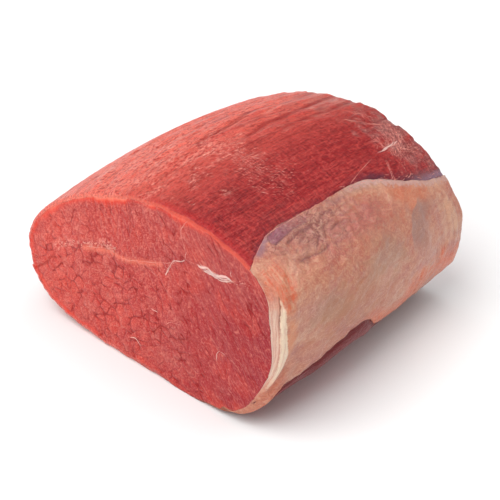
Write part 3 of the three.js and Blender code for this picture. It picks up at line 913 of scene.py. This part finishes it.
def rawBeefSkin():
    # the outside of raw lean beef: light goes a few mm in, so it is soft and saturated; fibres lie along
    # it, and its wet film gives broad dull highlights
    material, tree = newMaterial("raw_beef_skin")
    known = restPlace(tree)
    addPatterns(tree, known, "place", {
        "patch": (1, 9, 3.0, 0.0, 0.25),
        "grit": (1.7, 1.2, 4.0, 0.0, 0.18),
        "fibres": (9, 0.9, 3.0, 0.0, 0.18),             # single fibres, drawn as coarse as they need to show
        "strips": (12, 3.4, 3.0, 0.0, 0.22),            # bundles
        "crosswise": (0.22, 5.0, 3.0, 1.1, 0.22),       # ripples left by the netting
    })
    addZones(tree, known, leanZones, 1.0, 0.9)
    workOut(tree, known, {
        "toLeft": ("SMOOTHSTEP", "x", 44.0, -36.0),
        "toRight": ("LINEAR", "x", -20.0, 25.0),
        "toBack": ("SMOOTHSTEP", "y", 2.0, 26.0),
        "farBack": ("SMOOTHSTEP", "y", 44.0, 66.0),
        "upper": ("LINEAR", "z", 60.0, 85.0),
        "rippled": ("SMOOTHSTEP", "x", 5.0, 34.0, 0.1, 1.0),
        "coarse": ("SMOOTHSTEP", "x", 30.0, -10.0, 0.6, 1.0),
        "patchy": ("LINEAR", "strips", -0.5, 0.5, 0.35, 1.0),
        "furrowShade": ("SMOOTHSTEP", "furrow", 0.12, 0.5),
        "ridgeHighlight": ("SMOOTHSTEP", "furrow", -0.03, -0.14),
        "redGlowBehindRim": ("SMOOTHSTEP", "fromFront", 5.5, 2.0),
        "onRim": ("LINEAR", "fromFront", 0.9, 0.2),
        "raggedFat": ("MULTIPLY_ADD", "patch", 1.8, "fromFat"),
        "nearFat": ("SMOOTHSTEP", "raggedFat", 7.5, 1.5),
        "edgeFat": ("LINEAR", "raggedFat", 2.4, 0.4),
        "edgeFilm": ("LINEAR", "raggedFat", 4.0, 1.5),
        "underFat": ("LINEAR", "toFat", 26.0, 10.0),
        "raggedFloor": ("MULTIPLY_ADD", "patch", 4.0, "z"),
        "byFloor": ("LINEAR", "raggedFloor", 16.0, 10.0),
    })
    colour = paintLayers(tree, known, leanFinish, "side", [
        ("sideLeft", "toLeft"),
        ("sideDark", "stripsLow", 0.3),
        ("sidePale", "stripsHigh", 0.35),
        # painted highlight on the raised lips along the furrows
        ("sidePale", "ridgeHighlight", 0.6),
        ("sideDark", "fibresLow", 0.42),
        ("sidePale", "fibresHigh", 0.42),
        ("side", "gritLow", "coarse", 0.75),
        ("sidePale", "gritHigh", "coarse", 0.75),
        ("greyFilm", "greyBack", 0.4),
        ("sideDark", "dried", 0.15),
        ("granule", "gritHigh", "crumbly", 0.5),
        ("granule", "stripsHigh", "crumbly", 0.35),
        # the same red, here for low grit in the crumbly zone
        ("redGlowBehindRim", "gritLow", "crumbly", 0.5),
        # painted shade in the furrows
        ("pitAndFurrowShade", "furrowShade", 0.5),
        ("sideDark", "crosswiseLow", "rippled", 0.4),
        ("sidePale", "crosswiseHigh", "rippled", 0.38),
        ("granule", "crosswiseHigh", "arcs", 0.3),
        ("granule", "gritHigh", "speckled", 0.35),
        # painted light and shade on the crown's ridges: paler on the strips' highs, darker in their lows
        ("granule", "stripsHigh", "crown", 0.35),
        ("side", "stripsLow", "crown", 0.5),
        ("sideDark", "torn", 0.2),
        ("film", "torn", 0.25),
        ("pitAndFurrowShade", "stripsLow", "torn", 0.7),
        ("granule", "gritHigh", "torn", 0.3),
        # painted red glow on the skin behind the rim, as light shining through its thin edge
        ("redGlowBehindRim", "redGlowBehindRim", "upper", "toRight", 0.5),
        ("silverskin", "nearFat", "toBack", "patchy", 0.85),
        ("film", "nearFat", "farBack", 0.3),
        ("silverskin", "edgeFat", 0.4),
        ("lavender", "edgeFilm", "farBack", 0.7),
        # painted highlight on the rounded rim by the front cut, redder on the right
        ("rimHighlightAndSeam", "onRim", "upper", 0.35),
        ("rimHighlightRight", "onRim", "upper", "toRight", 0.6),
        # dark red of the strip under the fat, with painted shade from the fat's overhanging lower edge
        ("darkRedAndShadeUnderFat", "underFat", 0.88),
        ("suet", "underFat", "byFloor", 0.6),
    ])
    height = sumHeights(tree, known, [
        ("grit", 0.14),
        ("grit", 0.1, "crumbly"),
        ("fibres", 0.12),
        ("strips", 0.3),
        ("strips", 0.35, "crown"),
        ("crosswise", 0.1, "rippled"),
    ])
    finishSurface(tree, colour, height, {**leanFinish["surface"], **leanFinish["wetSkin"]})
    return material


def rawBeefCut():
    # lean beef cut across the grain by a knife: bundles end on, coral to deeper pink near the fat, moist
    material, tree = newMaterial("raw_beef_cut")
    known = restPlace(tree)
    addBundles(tree, known)
    addPatterns(tree, known, "slanted", {
        "slow": (1, 14, 2.0, 0.0, 0.25),
        "pebble": (1, 4.8, 2.0, 0.3, 0.22),             # bundles, seen end on
        "mottle": (2.5, 1.5, 2.5, 0.0, 0.22),
        "fine": (3, 0.75, 1.0, 0.0, 0.22),              # fibre ends, drawn as coarse as they need to show
    })
    # fine streaks of single fibres cut at a slant, drawn along the flattened bundles
    drawn = addNode(tree, vectorNode, {0: known["pressed"], 1: (1.0, 1.0, 0.2)}, operation="MULTIPLY")
    links = {"Vector": drawn, "Scale": 1 / 1.5, "Detail": 1.5, "Roughness": 0.5}
    known["streaks"] = addNode(tree, noiseNode, links)
    workOut(tree, known, {
        "toRight": ("LINEAR", "x", -60.0, 75.0),
        "nearRight": ("LINEAR", "x", -10.0, 30.0),
        "onLeft": ("LINEAR", "x", 50.0, 5.0, 0.3, 1.0),
        "streaky": ("LINEAR", "x", 4.0, 58.0, 0.0, 0.8),
        "clearOfFat": ("LINEAR", "x", 75.0, 64.0),
        "upper": ("LINEAR", "z", 60.0, 85.0),
        "rimTop": ("LINEAR", "z", 62.0, 80.0, 0.15, 0.7),
        "corner": ("SMOOTHSTEP", "middle", 0.5, 0.7),
        "shade": ("SMOOTHSTEP", "edge", 0.16, 0.0),
        "line": ("SMOOTHSTEP", "edge", 0.07, 0.01),
        "moreOpen": ("LINEAR", "open", -0.4, 0.4, -0.1, 0.05),
        "openGaps": ("ADD", "gaps", "moreOpen"),
        "gaping": ("SMOOTHSTEP", "openGaps", 1.2, 1.36),
        "pale": ("SMOOTHSTEP", "gaps", 1.12, 0.95),
        "darkBundle": ("LINEAR", "tone", 0.45, 0.8),
        "streakLow": ("SMOOTHSTEP", "streaks", 0.48, 0.34),
        "streakHigh": ("SMOOTHSTEP", "streaks", 0.52, 0.68),
        "raggedRim": ("MULTIPLY_ADD", "slow", 1.6, "inFromRim"),
        "rimNear": ("SMOOTHSTEP", "raggedRim", 3.8, 0.2),
        "rimThin": ("SMOOTHSTEP", "raggedRim", 1.2, -0.6),
        "splitShade": ("LINEAR", "split", 0.15, 0.5),
    })
    colour = paintLayers(tree, known, leanFinish, "cutLeft", [
        ("cutRight", "toRight"),
        ("cutPale", "upper", "nearRight", 0.14),
        ("cutGrey", "slowHigh", 0.25),
        ("cutOrange", "slowLow", 0.3),
        ("cutDark", "darkBundle", 0.15),
        ("cutPale", "pebbleHigh", "onLeft", 0.18),
        ("cutDark", "pebbleLow", "onLeft", 0.2),
        ("cutPale", "mottleHigh", 0.3),
        ("cutDark", "mottleLow", 0.32),
        ("cutPale", "fineHigh", "onLeft", 0.3),
        ("cutDark", "fineLow", "onLeft", 0.35),
        ("cutDark", "streakLow", "streaky", 0.5),
        ("cutPale", "streakHigh", "streaky", 0.15),
        ("cutDark", "shade", 0.25),
        ("crack", "line", "gaping", 0.55),
        ("crack", "shade", "corner", "gaping", 0.65),
        ("cutPale", "line", "pale", 0.35),
        ("crack", "splitShade", 0.5),
        ("granule", "mottleHigh", "fleckBand", 0.5),
        ("granule", "pebbleHigh", "fleckBand", 0.5),
        ("rimHighlightAndSeam", "seam", 0.5),
        # painted glow in from the rim, as light shining through its thin edge, then a painted highlight on
        # the rounded rim, stronger at the top and redder on the right
        ("rim", "rimNear", "rimGlow", 0.72),
        ("rimHighlightAndSeam", "rimThin", "rimTop", "clearOfFat"),
        ("rimHighlightRight", "rimThin", "rimTop", "clearOfFat", "nearRight"),
    ])
    height = sumHeights(tree, known, [
        ("pebble", 0.16, "onLeft"),
        ("mottle", 0.08),
        ("streakLow", -0.12, "streaky"),
        ("line", -0.15, "gaping"),
        ("shade", -0.1),
    ])
    finishSurface(tree, colour, height, {**leanFinish["surface"], **leanFinish["freshCut"]})
    return material


fatFinish = {
    "base": "#c07a60", "pink": "#b05e50", "rose": "#b4625c", "lavender": "#8e6474", "pad": "#925662",
    "amber": "#d8875a", "tan": "#b06e48", "cream": "#dcb092", "grey": "#a6826a", "orange": "#cc6844",
    "ember": "#cf4c22", "raw": "#da5404", "purple": "#965e68", "mauve": "#a2766a", "veinAndCreaseShade": "#86403a",
    "bright": "#f4e6ca", "split": "#8a5440", "end": "#d4a894", "lip": "#c8a098", "padLine": "#6a3848",
    "surface": {"Roughness": 0.36, "IOR": 1.45, "Subsurface Weight": 0.3, "Coat Weight": 0.2,
                "Coat Roughness": 0.22, "Subsurface Radius": (1.0, 0.55, 0.35), "Subsurface Scale": 0.002},
}


def beefSuet():
    # outer fat, trimmed with a knife: waxy, cloudy and a little wet, with veins and skin showing through
    material, tree = newMaterial("beef_suet")
    known = restPlace(tree)
    addPatterns(tree, known, "place", {
        "slow": (2.2, 18, 2.5, 0.8, 0.22),
        "patch": (1.4, 7, 2.0, 1.0, 0.25),
        "mottle": (1.2, 2.2, 3.0, 0.8, 0.25),
        "fine": (1, 1.0, 3.0, 0.0, 0.2),
        "fold": (1.6, 4.0, 2.0, 2.6, 0.25),             # wrinkles of the thin skin
        "pleat": (0.1, 26, 2.0, 0.3, 0.25),             # streaks that run down the fat
    })
    for key, width in (("patch", 0.1), ("mottle", 0.13), ("fold", 0.2)):
        workOut(tree, known, {
            "away": ("ABSOLUTE", key),
            key + "Crease": ("SMOOTHSTEP", "away", width, 0.0),
        })
    addZones(tree, known, fatZones, 0.35, 0.8)
    # the bluish pad has a dark outline, the lower edge is orange and the upper one a ragged lip; the
    # rounded front edge is pale by the lean, then has a bright strip with a thin split above, and higher up
    # the skin rolls over it down to a thin white line at the lean
    workOut(tree, known, {
        "onSkin": ("SUBTRACT", 1.0, "onCut"),
        "pleated": ("LINEAR", "y", 50.0, 62.0),
        "lipBack": ("LINEAR", "y", -6.0, 14.0),
        "padFades": ("LINEAR", "y", -38.0, -52.0, 0.25, 1.0),
        "creaseLine": ("LINEAR", "crease", 0.28, 0.44),
        "pastFold": ("SUBTRACT", "fold", 0.36),
        "fromFold": ("ABSOLUTE", "pastFold"),
        "foldHighlight": ("LINEAR", "fromFold", 0.16, 0.0),      # painted highlight on the lit side of each fold
        "raggedPad": ("MULTIPLY_ADD", "mottle", 0.35, "fromPad"),
        "onPad": ("LINEAR", "raggedPad", 3.0, 2.3),
        "pastPad": ("SUBTRACT", "raggedPad", 2.8),
        "fromOutline": ("ABSOLUTE", "pastPad"),
        "padLine": ("LINEAR", "fromOutline", 0.6, 0.1),
        "raggedRaw": ("MULTIPLY_ADD", "mottle", 2.2, "fromRawEdge"),
        "rawEdge": ("LINEAR", "raggedRaw", 13.0, 4.0),
        "raggedLip": ("MULTIPLY_ADD", "mottle", 2.6, "down"),
        "lip": ("LINEAR", "raggedLip", 4.0, 2.6),
        "raggedStrip": ("MULTIPLY_ADD", "mottle", 0.4, "inStrip"),
        "strip": ("SMOOTHSTEP", "raggedStrip", -0.3, 0.7),
        "raggedEnd": ("MULTIPLY_ADD", "mottle", 0.4, "pastEnd"),
        "onEnd": ("SMOOTHSTEP", "raggedEnd", 0.6, -1.2),
        "fromSplit": ("ABSOLUTE", "raggedEnd"),
        "split": ("LINEAR", "fromSplit", 0.7, 0.1),
        "splitHigh": ("LINEAR", "down", 38.0, 30.0),
        "byStrip": ("LINEAR", "inStrip", -0.9, -0.2),
        "raggedDown": ("MULTIPLY_ADD", "mottle", 3.0, "down"),
        "cutShows": ("LINEAR", "raggedDown", 12.0, 30.0),
        "toFoot": ("LINEAR", "raggedDown", 60.0, 78.0),
        "onFront": ("LINEAR", "fromFront", 14.0, 5.0),
        "byLean": ("LINEAR", "depthIn", 0.6, 0.95),
        "highUp": ("LINEAR", "down", 24.0, 12.0, 0.3, 0.85),
        "slowDown": ("MULTIPLY", "down", 1 / 14),
    })
    # streaks that run down the rounded front
    drawn = addNode(tree, "ShaderNodeCombineXYZ", {0: known["raggedEnd"], 1: known["slowDown"]})
    known["band"] = addNode(tree, noiseNode, {"Vector": drawn, "Scale": 0.9, "Detail": 2.0})
    workOut(tree, known, {
        "bandHigh": ("LINEAR", "band", 0.5, 0.62),
        "bandLow": ("LINEAR", "band", 0.5, 0.38),
    })
    colour = paintLayers(tree, known, fatFinish, "base", [
        ("cream", "slowHigh", 0.4),
        ("rose", "slowLow", 0.6),
        ("pink", "patchLow", 0.4),
        ("cream", "mottleHigh", 0.35),
        ("pink", "mottleLow", 0.4),
        ("cream", "fineHigh", 0.3),
        ("pink", "fineLow", 0.35),
        ("grey", "middleGrey", 0.5),
        ("grey", "lowGrey", 0.5),
        ("mauve", "upperGrey", 0.6),
        ("rose", "blush", 0.5),
        ("veinAndCreaseShade", "mottleCrease", "blush", 0.6),
        ("veinAndCreaseShade", "patchCrease", "blush", 0.6),
        ("cream", "backPale", 0.6),
        ("orange", "frontOrange", 0.5),
        ("ember", "frontOrange", "mottleHigh", 0.6),
        ("ember", "frontOrange", "pleatHigh", 0.8),
        ("cream", "frontOrange", "pleatLow", 0.5),
        ("amber", "besideStrip", 0.8),
        ("ember", "frontOrange", "bandHigh", 0.6),
        ("orange", "topOrange", 0.5),
        ("raw", "lobe", 0.85),
        ("cream", "lobe", "fineHigh", 0.25),
        ("tan", "lowWarm", 0.6),
        ("raw", "rawEdge", 0.75),
        ("cream", "rawEdge", "fineHigh", 0.4),
        ("veinAndCreaseShade", "rawEdge", "mottleLow", 0.4),
        ("mauve", "trimmedThin", 0.8),
        ("purple", "veil", 0.4),
        ("lip", "lip", "lipBack", 0.75),
        # painted shade in the folds' creases, and a painted highlight beside them
        ("veinAndCreaseShade", "foldCrease", "veil", 0.55),
        ("cream", "foldHighlight", "veil", 0.45),
        # painted shade along the creases in the fat's skin, darker still in their middles
        ("veinAndCreaseShade", "crease"),
        ("padLine", "creaseLine", 0.25),
        ("veinAndCreaseShade", "mottleCrease", "slowLow", 0.4),
        ("cream", "patchCrease", 0.25),
        ("lavender", "corner", 0.75),
        ("pad", "onPad", "padFades", 0.95),
        ("lip", "onPad", "foldHigh", 0.4),
        ("padLine", "padLine", "padFades", 0.5),
        ("pink", "pleatLow", "pleated", 0.35),
        ("cream", "pleatHigh", "pleated", 0.2),
        ("end", "onEnd", "cutShows", 0.95),
        ("bright", "onEnd", "cutShows", "bandHigh", 0.3),
        ("rose", "onEnd", "cutShows", "bandLow", 0.35),
        ("bright", "strip", 0.72),
        ("end", "strip", "bandLow", 0.6),
        ("orange", "toFoot", "onFront", 0.8),
        ("cream", "toFoot", "onFront", "mottleHigh", 0.3),
        ("veinAndCreaseShade", "toFoot", "onFront", "mottleLow", 0.4),
        ("split", "split", "splitHigh", "byStrip", 0.9),
        ("bright", "byLean", "onCut", "highUp"),
    ])
    height = sumHeights(tree, known, [
        ("fine", 0.05),
        ("mottle", 0.12),
        ("foldCrease", -0.35, "veil", "onSkin"),
        ("crease", -0.6, "onSkin"),
        ("padLine", -0.3, "onSkin"),
        ("mottleCrease", -0.08, "onSkin"),
        ("pleat", 0.3, "pleated", "onSkin"),
        ("split", -0.2, "splitHigh", "byStrip", "onSkin"),
    ])
    finishSurface(tree, colour, height, fatFinish["surface"])
    return material


lean.data.materials.append(rawBeefSkin())
lean.data.materials.append(rawBeefCut())
fat.data.materials.append(beefSuet())
for piece, node, slotName in ((lean, "lean_muscle", "lean"), (fat, "fat_cap", "fat")):
    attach(piece, "root")
    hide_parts(node)
print("materials made")

# threads of silverskin and fat that lie on the lean, in mm: how many strands, the width of one, how far
# they spread to the sides, then the places along the bundle
threadPiece = {
    "step": 0.6,                # between the points of a strand
    "height": 0.3,              # against its width
    "sunk": 0.12,
    "seed": 23,
    "laidFrom": 200,            # strands are let down onto the joint from this far away
    "fibreWidth": 0.35,         # thinner ones are torn fibres, not silverskin
    # in a bundle of more than this many, a strand starts and ends anywhere in these parts of its line
    "fewStrands": 3,
    "starts": (0, 0.35),
    "stops": (0.6, 1),
    "swayRun": 9,               # how far along a strand one slow sway goes
    "kink": {"share": 0.4, "run": 1.7},
    "tip": {"share": 0.15, "length": 2.5},
    "uneven": {"middle": 0.75, "change": 0.35, "run": 2.3},
    "fleck": {"scatter": 0.5, "lengths": (0.4, 1.1), "widths": (0.6, 1.2),
              "profile": [0.2, 0.9, 1.1, 0.8, 0.2]},
    "onCut": [                  # x and z
        (1, 1.6, 0.3, [37.1, 40.1, 43.4, 46.6, 49.2, 53.1, 57.5, 60.7],
         [83.2, 82.4, 82.6, 82.2, 82.7, 82.8, 84.3, 84.1]),
        (14, 0.5, 1.6, [37.1, 40.1, 43.4, 46.6, 49.2, 53.1, 57.5, 60.7],
         [83, 82, 82, 81.6, 82, 82.2, 83.7, 83.9]),
        (2, 0.6, 0.4, [40.1, 43.3, 46.6, 50.5, 54.3], [81.1, 80.9, 80.7, 80.8, 81.1]),
        (1, 0.3, 0.5, [-42, -30.4, -21.5, -15.7, -8.5, -1.3, 5.7, 12.7, 18, 22],
         [58.4, 62.3, 65, 64.6, 65.4, 68, 70, 72.6, 75, 77.5]),
        (1, 0.5, 0.1, [58.7, 58.4, 59.1], [89.1, 87, 85.3]),
        (2, 0.25, 0.5, [63.2, 65.7, 68.2], [84.7, 85.6, 86.4]),
        (1, 0.45, 0.1, [30.6, 30.2, 30.2], [88.1, 85.6, 83]),
        (2, 0.22, 0.3, [31.8, 29.2, 27.1, 27.7, 29.6, 30.4], [105, 101.6, 97.3, 93.6, 89.9, 87]),
        (2, 0.4, 0.4, [30.2, 26.1, 22, 19.8, 17.6, 15.5], [83, 80, 78.4, 75.1, 70, 66.6]),
        (1, 0.3, 0.2, [30.2, 32.8, 36.8], [83, 82.7, 83.1]),
        (1, 0.45, 0.1, [49.4, 49, 50.1, 52.1, 56.1], [31.4, 34.2, 37.4, 38.8, 37.9]),
        (1, 0.28, 0.1, [56.1, 60.8, 65.5], [37.9, 36.8, 34.1]),
        (1, 0.45, 0.2, [-11.4, -6.4, -4.7, -2.1], [16.3, 17.3, 15.4, 12.8]),
        (1, 0.35, 0.2, [4.3, 6.9, 10.3], [42.1, 41.5, 41.3]),
        (1, 0.3, 0.2, [15.2, 19.5, 27.1], [37, 40.6, 42.9]),
        (1, 0.3, 0.2, [19.7, 21.4], [14.9, 11.9]),
        (1, 0.3, 0.2, [-24.5, -19.9], [17.1, 18.3]),
    ],
    "onTop": [                  # x and y
        (6, 0.55, 0.8, [52.5, 51, 48.5], [42, 52, 65]),
        (4, 0.22, 2.5, [44, 55, 64], [64, 59, 60]),
        (5, 0.22, 2.5, [36.6, 45.7, 54.4], [48, 51.7, 52.5]),
        (3, 0.25, 1.2, [57.4, 68], [43, 36.6]),
        (10, 0.2, 5.0, [38, 50, 63], [76, 66, 56]),
        (10, 0.2, 5.0, [43, 52, 62], [46, 60, 74]),
        (8, 0.2, 4.0, [34, 48, 62], [60, 57, 50]),
        (1, 0.26, 0.2, [54.4, 57.6, 61.6], [35, 20, 6.6]),
        (3, 0.25, 1.5, [38, 30, 24], [70, 55, 48]),
        (1, 0.34, 0.1, [68.9, 65.5, 63.2, 63, 63.1, 62.5, 62.1], [-74, -66, -58, -45, -22, -10, 0]),
    ],
    # flecks: how many, their length and width, how far they scatter, how far they turn, then their line
    "flecksOnCut": [
        (46, 1.7, 1.2, 1.6, 3.0, [-66, -50, -30, -18], [48, 57, 64, 67.5]),
        (20, 1.2, 0.35, 1.2, 3.0, [14, 21, 24], [70, 77, 79]),
        (14, 1.0, 0.3, 2.0, 3.0, [60, 69], [84, 86]),
        (60, 2.2, 0.42, 1.5, 0.9, [38, 46, 53, 60], [82.6, 82, 82.6, 84]),
    ],
    "flecksOnTop": [
        (150, 0.9, 0.26, 2.4, 3.0, [-2, 7.4, 13.8, 21, 26], [-12, -18, -21, -25, -27]),
        (60, 0.9, 0.24, 6.0, 3.0, [-6, 4], [-8, -30]),
        (70, 5.0, 0.2, 9.0, 1.6, [44, 60], [68, 50]),
        (110, 4.5, 0.2, 7.0, 2.2, [20, 36, 50, 66], [62, 68, 70, 72]),
        (60, 1.2, 0.25, 14.0, 3.0, [-40, -10], [-52, -50]),
        (44, 3.4, 0.28, 2.0, 0.8, [62, 63, 66.5, 70, 71], [0, 18, 36, 56, 74]),
        (40, 1.1, 0.22, 14.0, 0.6, [10, 40], [-50, 10]),
    ],
    # rows of short dashes that curve across the grain: ends of the first and the last row
    "arcRows": {"rows": 12, "flecks": 16, "dash": (1.4, 0.2, 0.5, 0.3), "bow": 1.2,
                "first": [15, 37, -27, -6], "last": [39, 53, -41, -25]},
}


def strandPaths(size):
    # every strand as the side it is laid from, its points there, its width along it, and 1 where it is a
    # thin fibre
    draw = np.random.default_rng(size["seed"])
    kink = size["kink"]
    tip = size["tip"]
    change = size["uneven"]
    fleck = size["fleck"]
    paths = []
    for side in ("onCut", "onTop"):
        for count, width, spread, lineU, lineV in size[side]:
            reach = np.concatenate([[0], np.cumsum(np.hypot(np.diff(lineU), np.diff(lineV)))])
            for _ in range(count):
                start, stop = (0, reach[-1])
                if count > size["fewStrands"]:
                    start = draw.uniform(*size["starts"]) * reach[-1]
                    stop = draw.uniform(*size["stops"]) * reach[-1]
                at = np.arange(start, stop, size["step"])
                u = smoothCurve((reach, lineU), at)
                v = smoothCurve((reach, lineV), at)
                phase = draw.uniform(0, 6, 3)
                drift = draw.uniform(-1, 1) * spread
                sway = drift * np.sin(at / size["swayRun"] + phase[0])
                sway += kink["share"] * width * np.sin(at / kink["run"] + phase[1])
                turnU = np.gradient(u, at)
                turnV = np.gradient(v, at)
                sway = sway / np.hypot(turnU, turnV)
                taper = smoothStep(at, start, start + tip["length"])
                taper *= smoothStep(at, stop, stop - tip["length"])
                uneven = change["middle"] + change["change"] * np.sin(at / change["run"] + phase[2])
                widths = width * (tip["share"] + (1 - tip["share"]) * taper) * uneven
                thin = int(width < size["fibreWidth"])
                paths.append((side, u - sway * turnV, v + sway * turnU, widths, thin))
    arcs = size["arcRows"]
    rows = []
    for share in np.linspace(0, 1, arcs["rows"]):
        left, right, near, far = np.array(arcs["first"]) * (1 - share) + np.array(arcs["last"]) * share
        lineU = [left, (left + right) / 2 + arcs["bow"], right]
        lineV = [near, (near + far) / 2 - arcs["bow"], far]
        rows.append((arcs["flecks"], *arcs["dash"], lineU, lineV))
    for side, flecks in (("onCut", size["flecksOnCut"]), ("onTop", size["flecksOnTop"] + rows)):
        for count, length, width, spread, turning, lineU, lineV in flecks:
            for _ in range(count):
                share = draw.uniform(0, 1) * (len(lineU) - 1)
                off = draw.normal(0, fleck["scatter"], 2) * spread
                first = int(share)
                ahead = math.atan2(lineV[first + 1] - lineV[first], lineU[first + 1] - lineU[first])
                turn = ahead + draw.uniform(-0.5, 0.5) * turning
                at = np.linspace(-0.5, 0.5, len(fleck["profile"])) * length * draw.uniform(*fleck["lengths"])
                u = np.interp(share, range(len(lineU)), lineU) + off[0] + at * math.cos(turn)
                v = np.interp(share, range(len(lineV)), lineV) + off[1] + at * math.sin(turn)
                widths = width * np.array(fleck["profile"]) * draw.uniform(*fleck["widths"])
                paths.append((side, u, v, widths, 1))
    return paths


def threadMesh():
    size = threadPiece
    away = size["laidFrom"]
    corners = []
    sides = []
    for piece in (lean, fat):
        sides += [[corner + len(corners) for corner in polygon.vertices] for polygon in piece.data.polygons]
        corners += [vertex.co for vertex in piece.data.vertices]
    surface = BVHTree.FromPolygons(corners, sides)
    points = []
    faces = []
    kinds = []
    for side, u, v, widths, kind in strandPaths(size):
        laid = []
        for a, b in zip(u, v):
            spot = Vector((a, -away, b)) if side == "onCut" else Vector((a, b, away))
            towards = Vector((0, 1, 0)) if side == "onCut" else Vector((0, 0, -1))
            hit, normal, _, _ = surface.ray_cast(spot / 1000, towards)
            if hit is None:
                break
            laid.append((hit * 1000, normal))
        if len(laid) < 3:
            continue
        start = len(points)
        for i, (hit, normal) in enumerate(laid):
            ahead = laid[min(i + 1, len(laid) - 1)][0] - laid[max(i - 1, 0)][0]
            sideways = normal.cross(ahead).normalized() * widths[i] / 2
            crown = normal * widths[i] * size["height"]
            points += [hit - sideways, hit + crown, hit + sideways, hit - normal * size["sunk"]]
        for row in range(start, len(points) - 4, 4):
            faces += [(row + 4 + k, row + 4 + (k + 1) % 4, row + (k + 1) % 4, row + k) for k in range(4)]
        last = len(points) - 4
        faces += [(start, start + 1, start + 2, start + 3), (last + 3, last + 2, last + 1, last)]
        kinds += [kind] * (len(faces) - len(kinds))
    mesh = bpy.data.meshes.new("connective_threads")
    mesh.from_pydata([p / 1000 for p in points], [], faces)
    mesh.polygons.foreach_set("material_index", kinds)
    mesh.shade_smooth()
    return linkedObject("connective_threads", mesh)


def connectiveTissue(name, dull, clean):
    # connective tissue: wet, pinkish white and a little clear, so the red under it shows through
    material, tree = newMaterial(name)
    place = addNode(tree, "ShaderNodeTexCoord", output="Object")
    known = {"uneven": addNode(tree, noiseNode, {"Vector": place, "Scale": 400.0, "Detail": 2.0})}
    colour = paintLayers(tree, known, {"dull": dull, "clean": clean}, "dull", [("clean", "uneven")])
    shader = addNode(tree, "ShaderNodeBsdfPrincipled", {
        "Base Color": colour, "Roughness": 0.35, "IOR": 1.45, "Subsurface Weight": 0.3,
        "Subsurface Radius": (1.0, 0.5, 0.4), "Subsurface Scale": 0.0006})
    addNode(tree, "ShaderNodeOutputMaterial", {"Surface": shader})
    return material


threads = threadMesh()
threads.data.materials.append(connectiveTissue("silverskin_thread", "#e0988e", "#fadcd2"))
threads.data.materials.append(connectiveTissue("torn_fibre", "#d06c60", "#f0a89a"))
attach(threads, "root")
print("threads laid", len(threads.data.polygons))

studio = {
    "floorSide": 8.0,
    "floorColour": "#f4f4f4",
    "worldStrength": 0.13,
    "lightAim": (0, 0, 0.04),
    # each light: degrees round from the front, degrees up, metres away, size and watts
    "lights": {
        "front window": (-10, 55, 3.0, 2.7, 82),
        "right back fill": (135, 60, 3.0, 2.7, 42),
        "left top": (290, 72, 3.0, 2.7, 30),
        "low right": (62, 16, 3.0, 2.4, 11),
    },
}

floorMesh = bpy.data.meshes.new("floor")
reach = studio["floorSide"] / 2
corners = [(-reach, -reach, 0), (reach, -reach, 0), (reach, reach, 0), (-reach, reach, 0)]
floorMesh.from_pydata(corners, [], [(0, 1, 2, 3)])
paper, paperTree = newMaterial("matt_white_paper")
paperShader = addNode(paperTree, "ShaderNodeBsdfPrincipled",
                      {"Base Color": hexColour(studio["floorColour"]), "Roughness": 0.9})
addNode(paperTree, "ShaderNodeOutputMaterial", {"Surface": paperShader})
floorMesh.materials.append(paper)
linkedObject("floor", floorMesh)

world = bpy.data.worlds.new("studio")
world.use_nodes = True
world.node_tree.nodes.clear()
background = addNode(world.node_tree, "ShaderNodeBackground",
                     {"Color": (1, 1, 1, 1), "Strength": studio["worldStrength"]})
addNode(world.node_tree, "ShaderNodeOutputWorld", {"Surface": background})
bpy.context.scene.world = world


def aimedObject(name, data, spot, aim):
    holder = linkedObject(name, data)
    holder.location = spot
    holder.rotation_euler = (Vector(aim) - Vector(spot)).to_track_quat("-Z", "Y").to_euler()
    return holder


for name, (aside, up, away, side, watts) in studio["lights"].items():
    turn = Matrix.Rotation(math.radians(aside), 3, "Z") @ Matrix.Rotation(math.radians(-up), 3, "X")
    lamp = bpy.data.lights.new(name, "AREA")
    lamp.size = side
    lamp.energy = watts
    aimedObject(name, lamp, turn @ Vector((0, -away, 0)), studio["lightAim"])

cameraView = {"spot": (0.3836, -0.4337, 0.4266), "aim": (0.000414, 0.001913, 0.034453), "lens": 92.6}
cameraData = bpy.data.cameras.new("camera")
cameraData.lens = cameraView["lens"]
cameraData.sensor_width = 36
bpy.context.scene.camera = aimedObject("camera", cameraData, cameraView["spot"], cameraView["aim"])
bpy.context.scene.view_settings.view_transform = "Standard"
print("studio set")
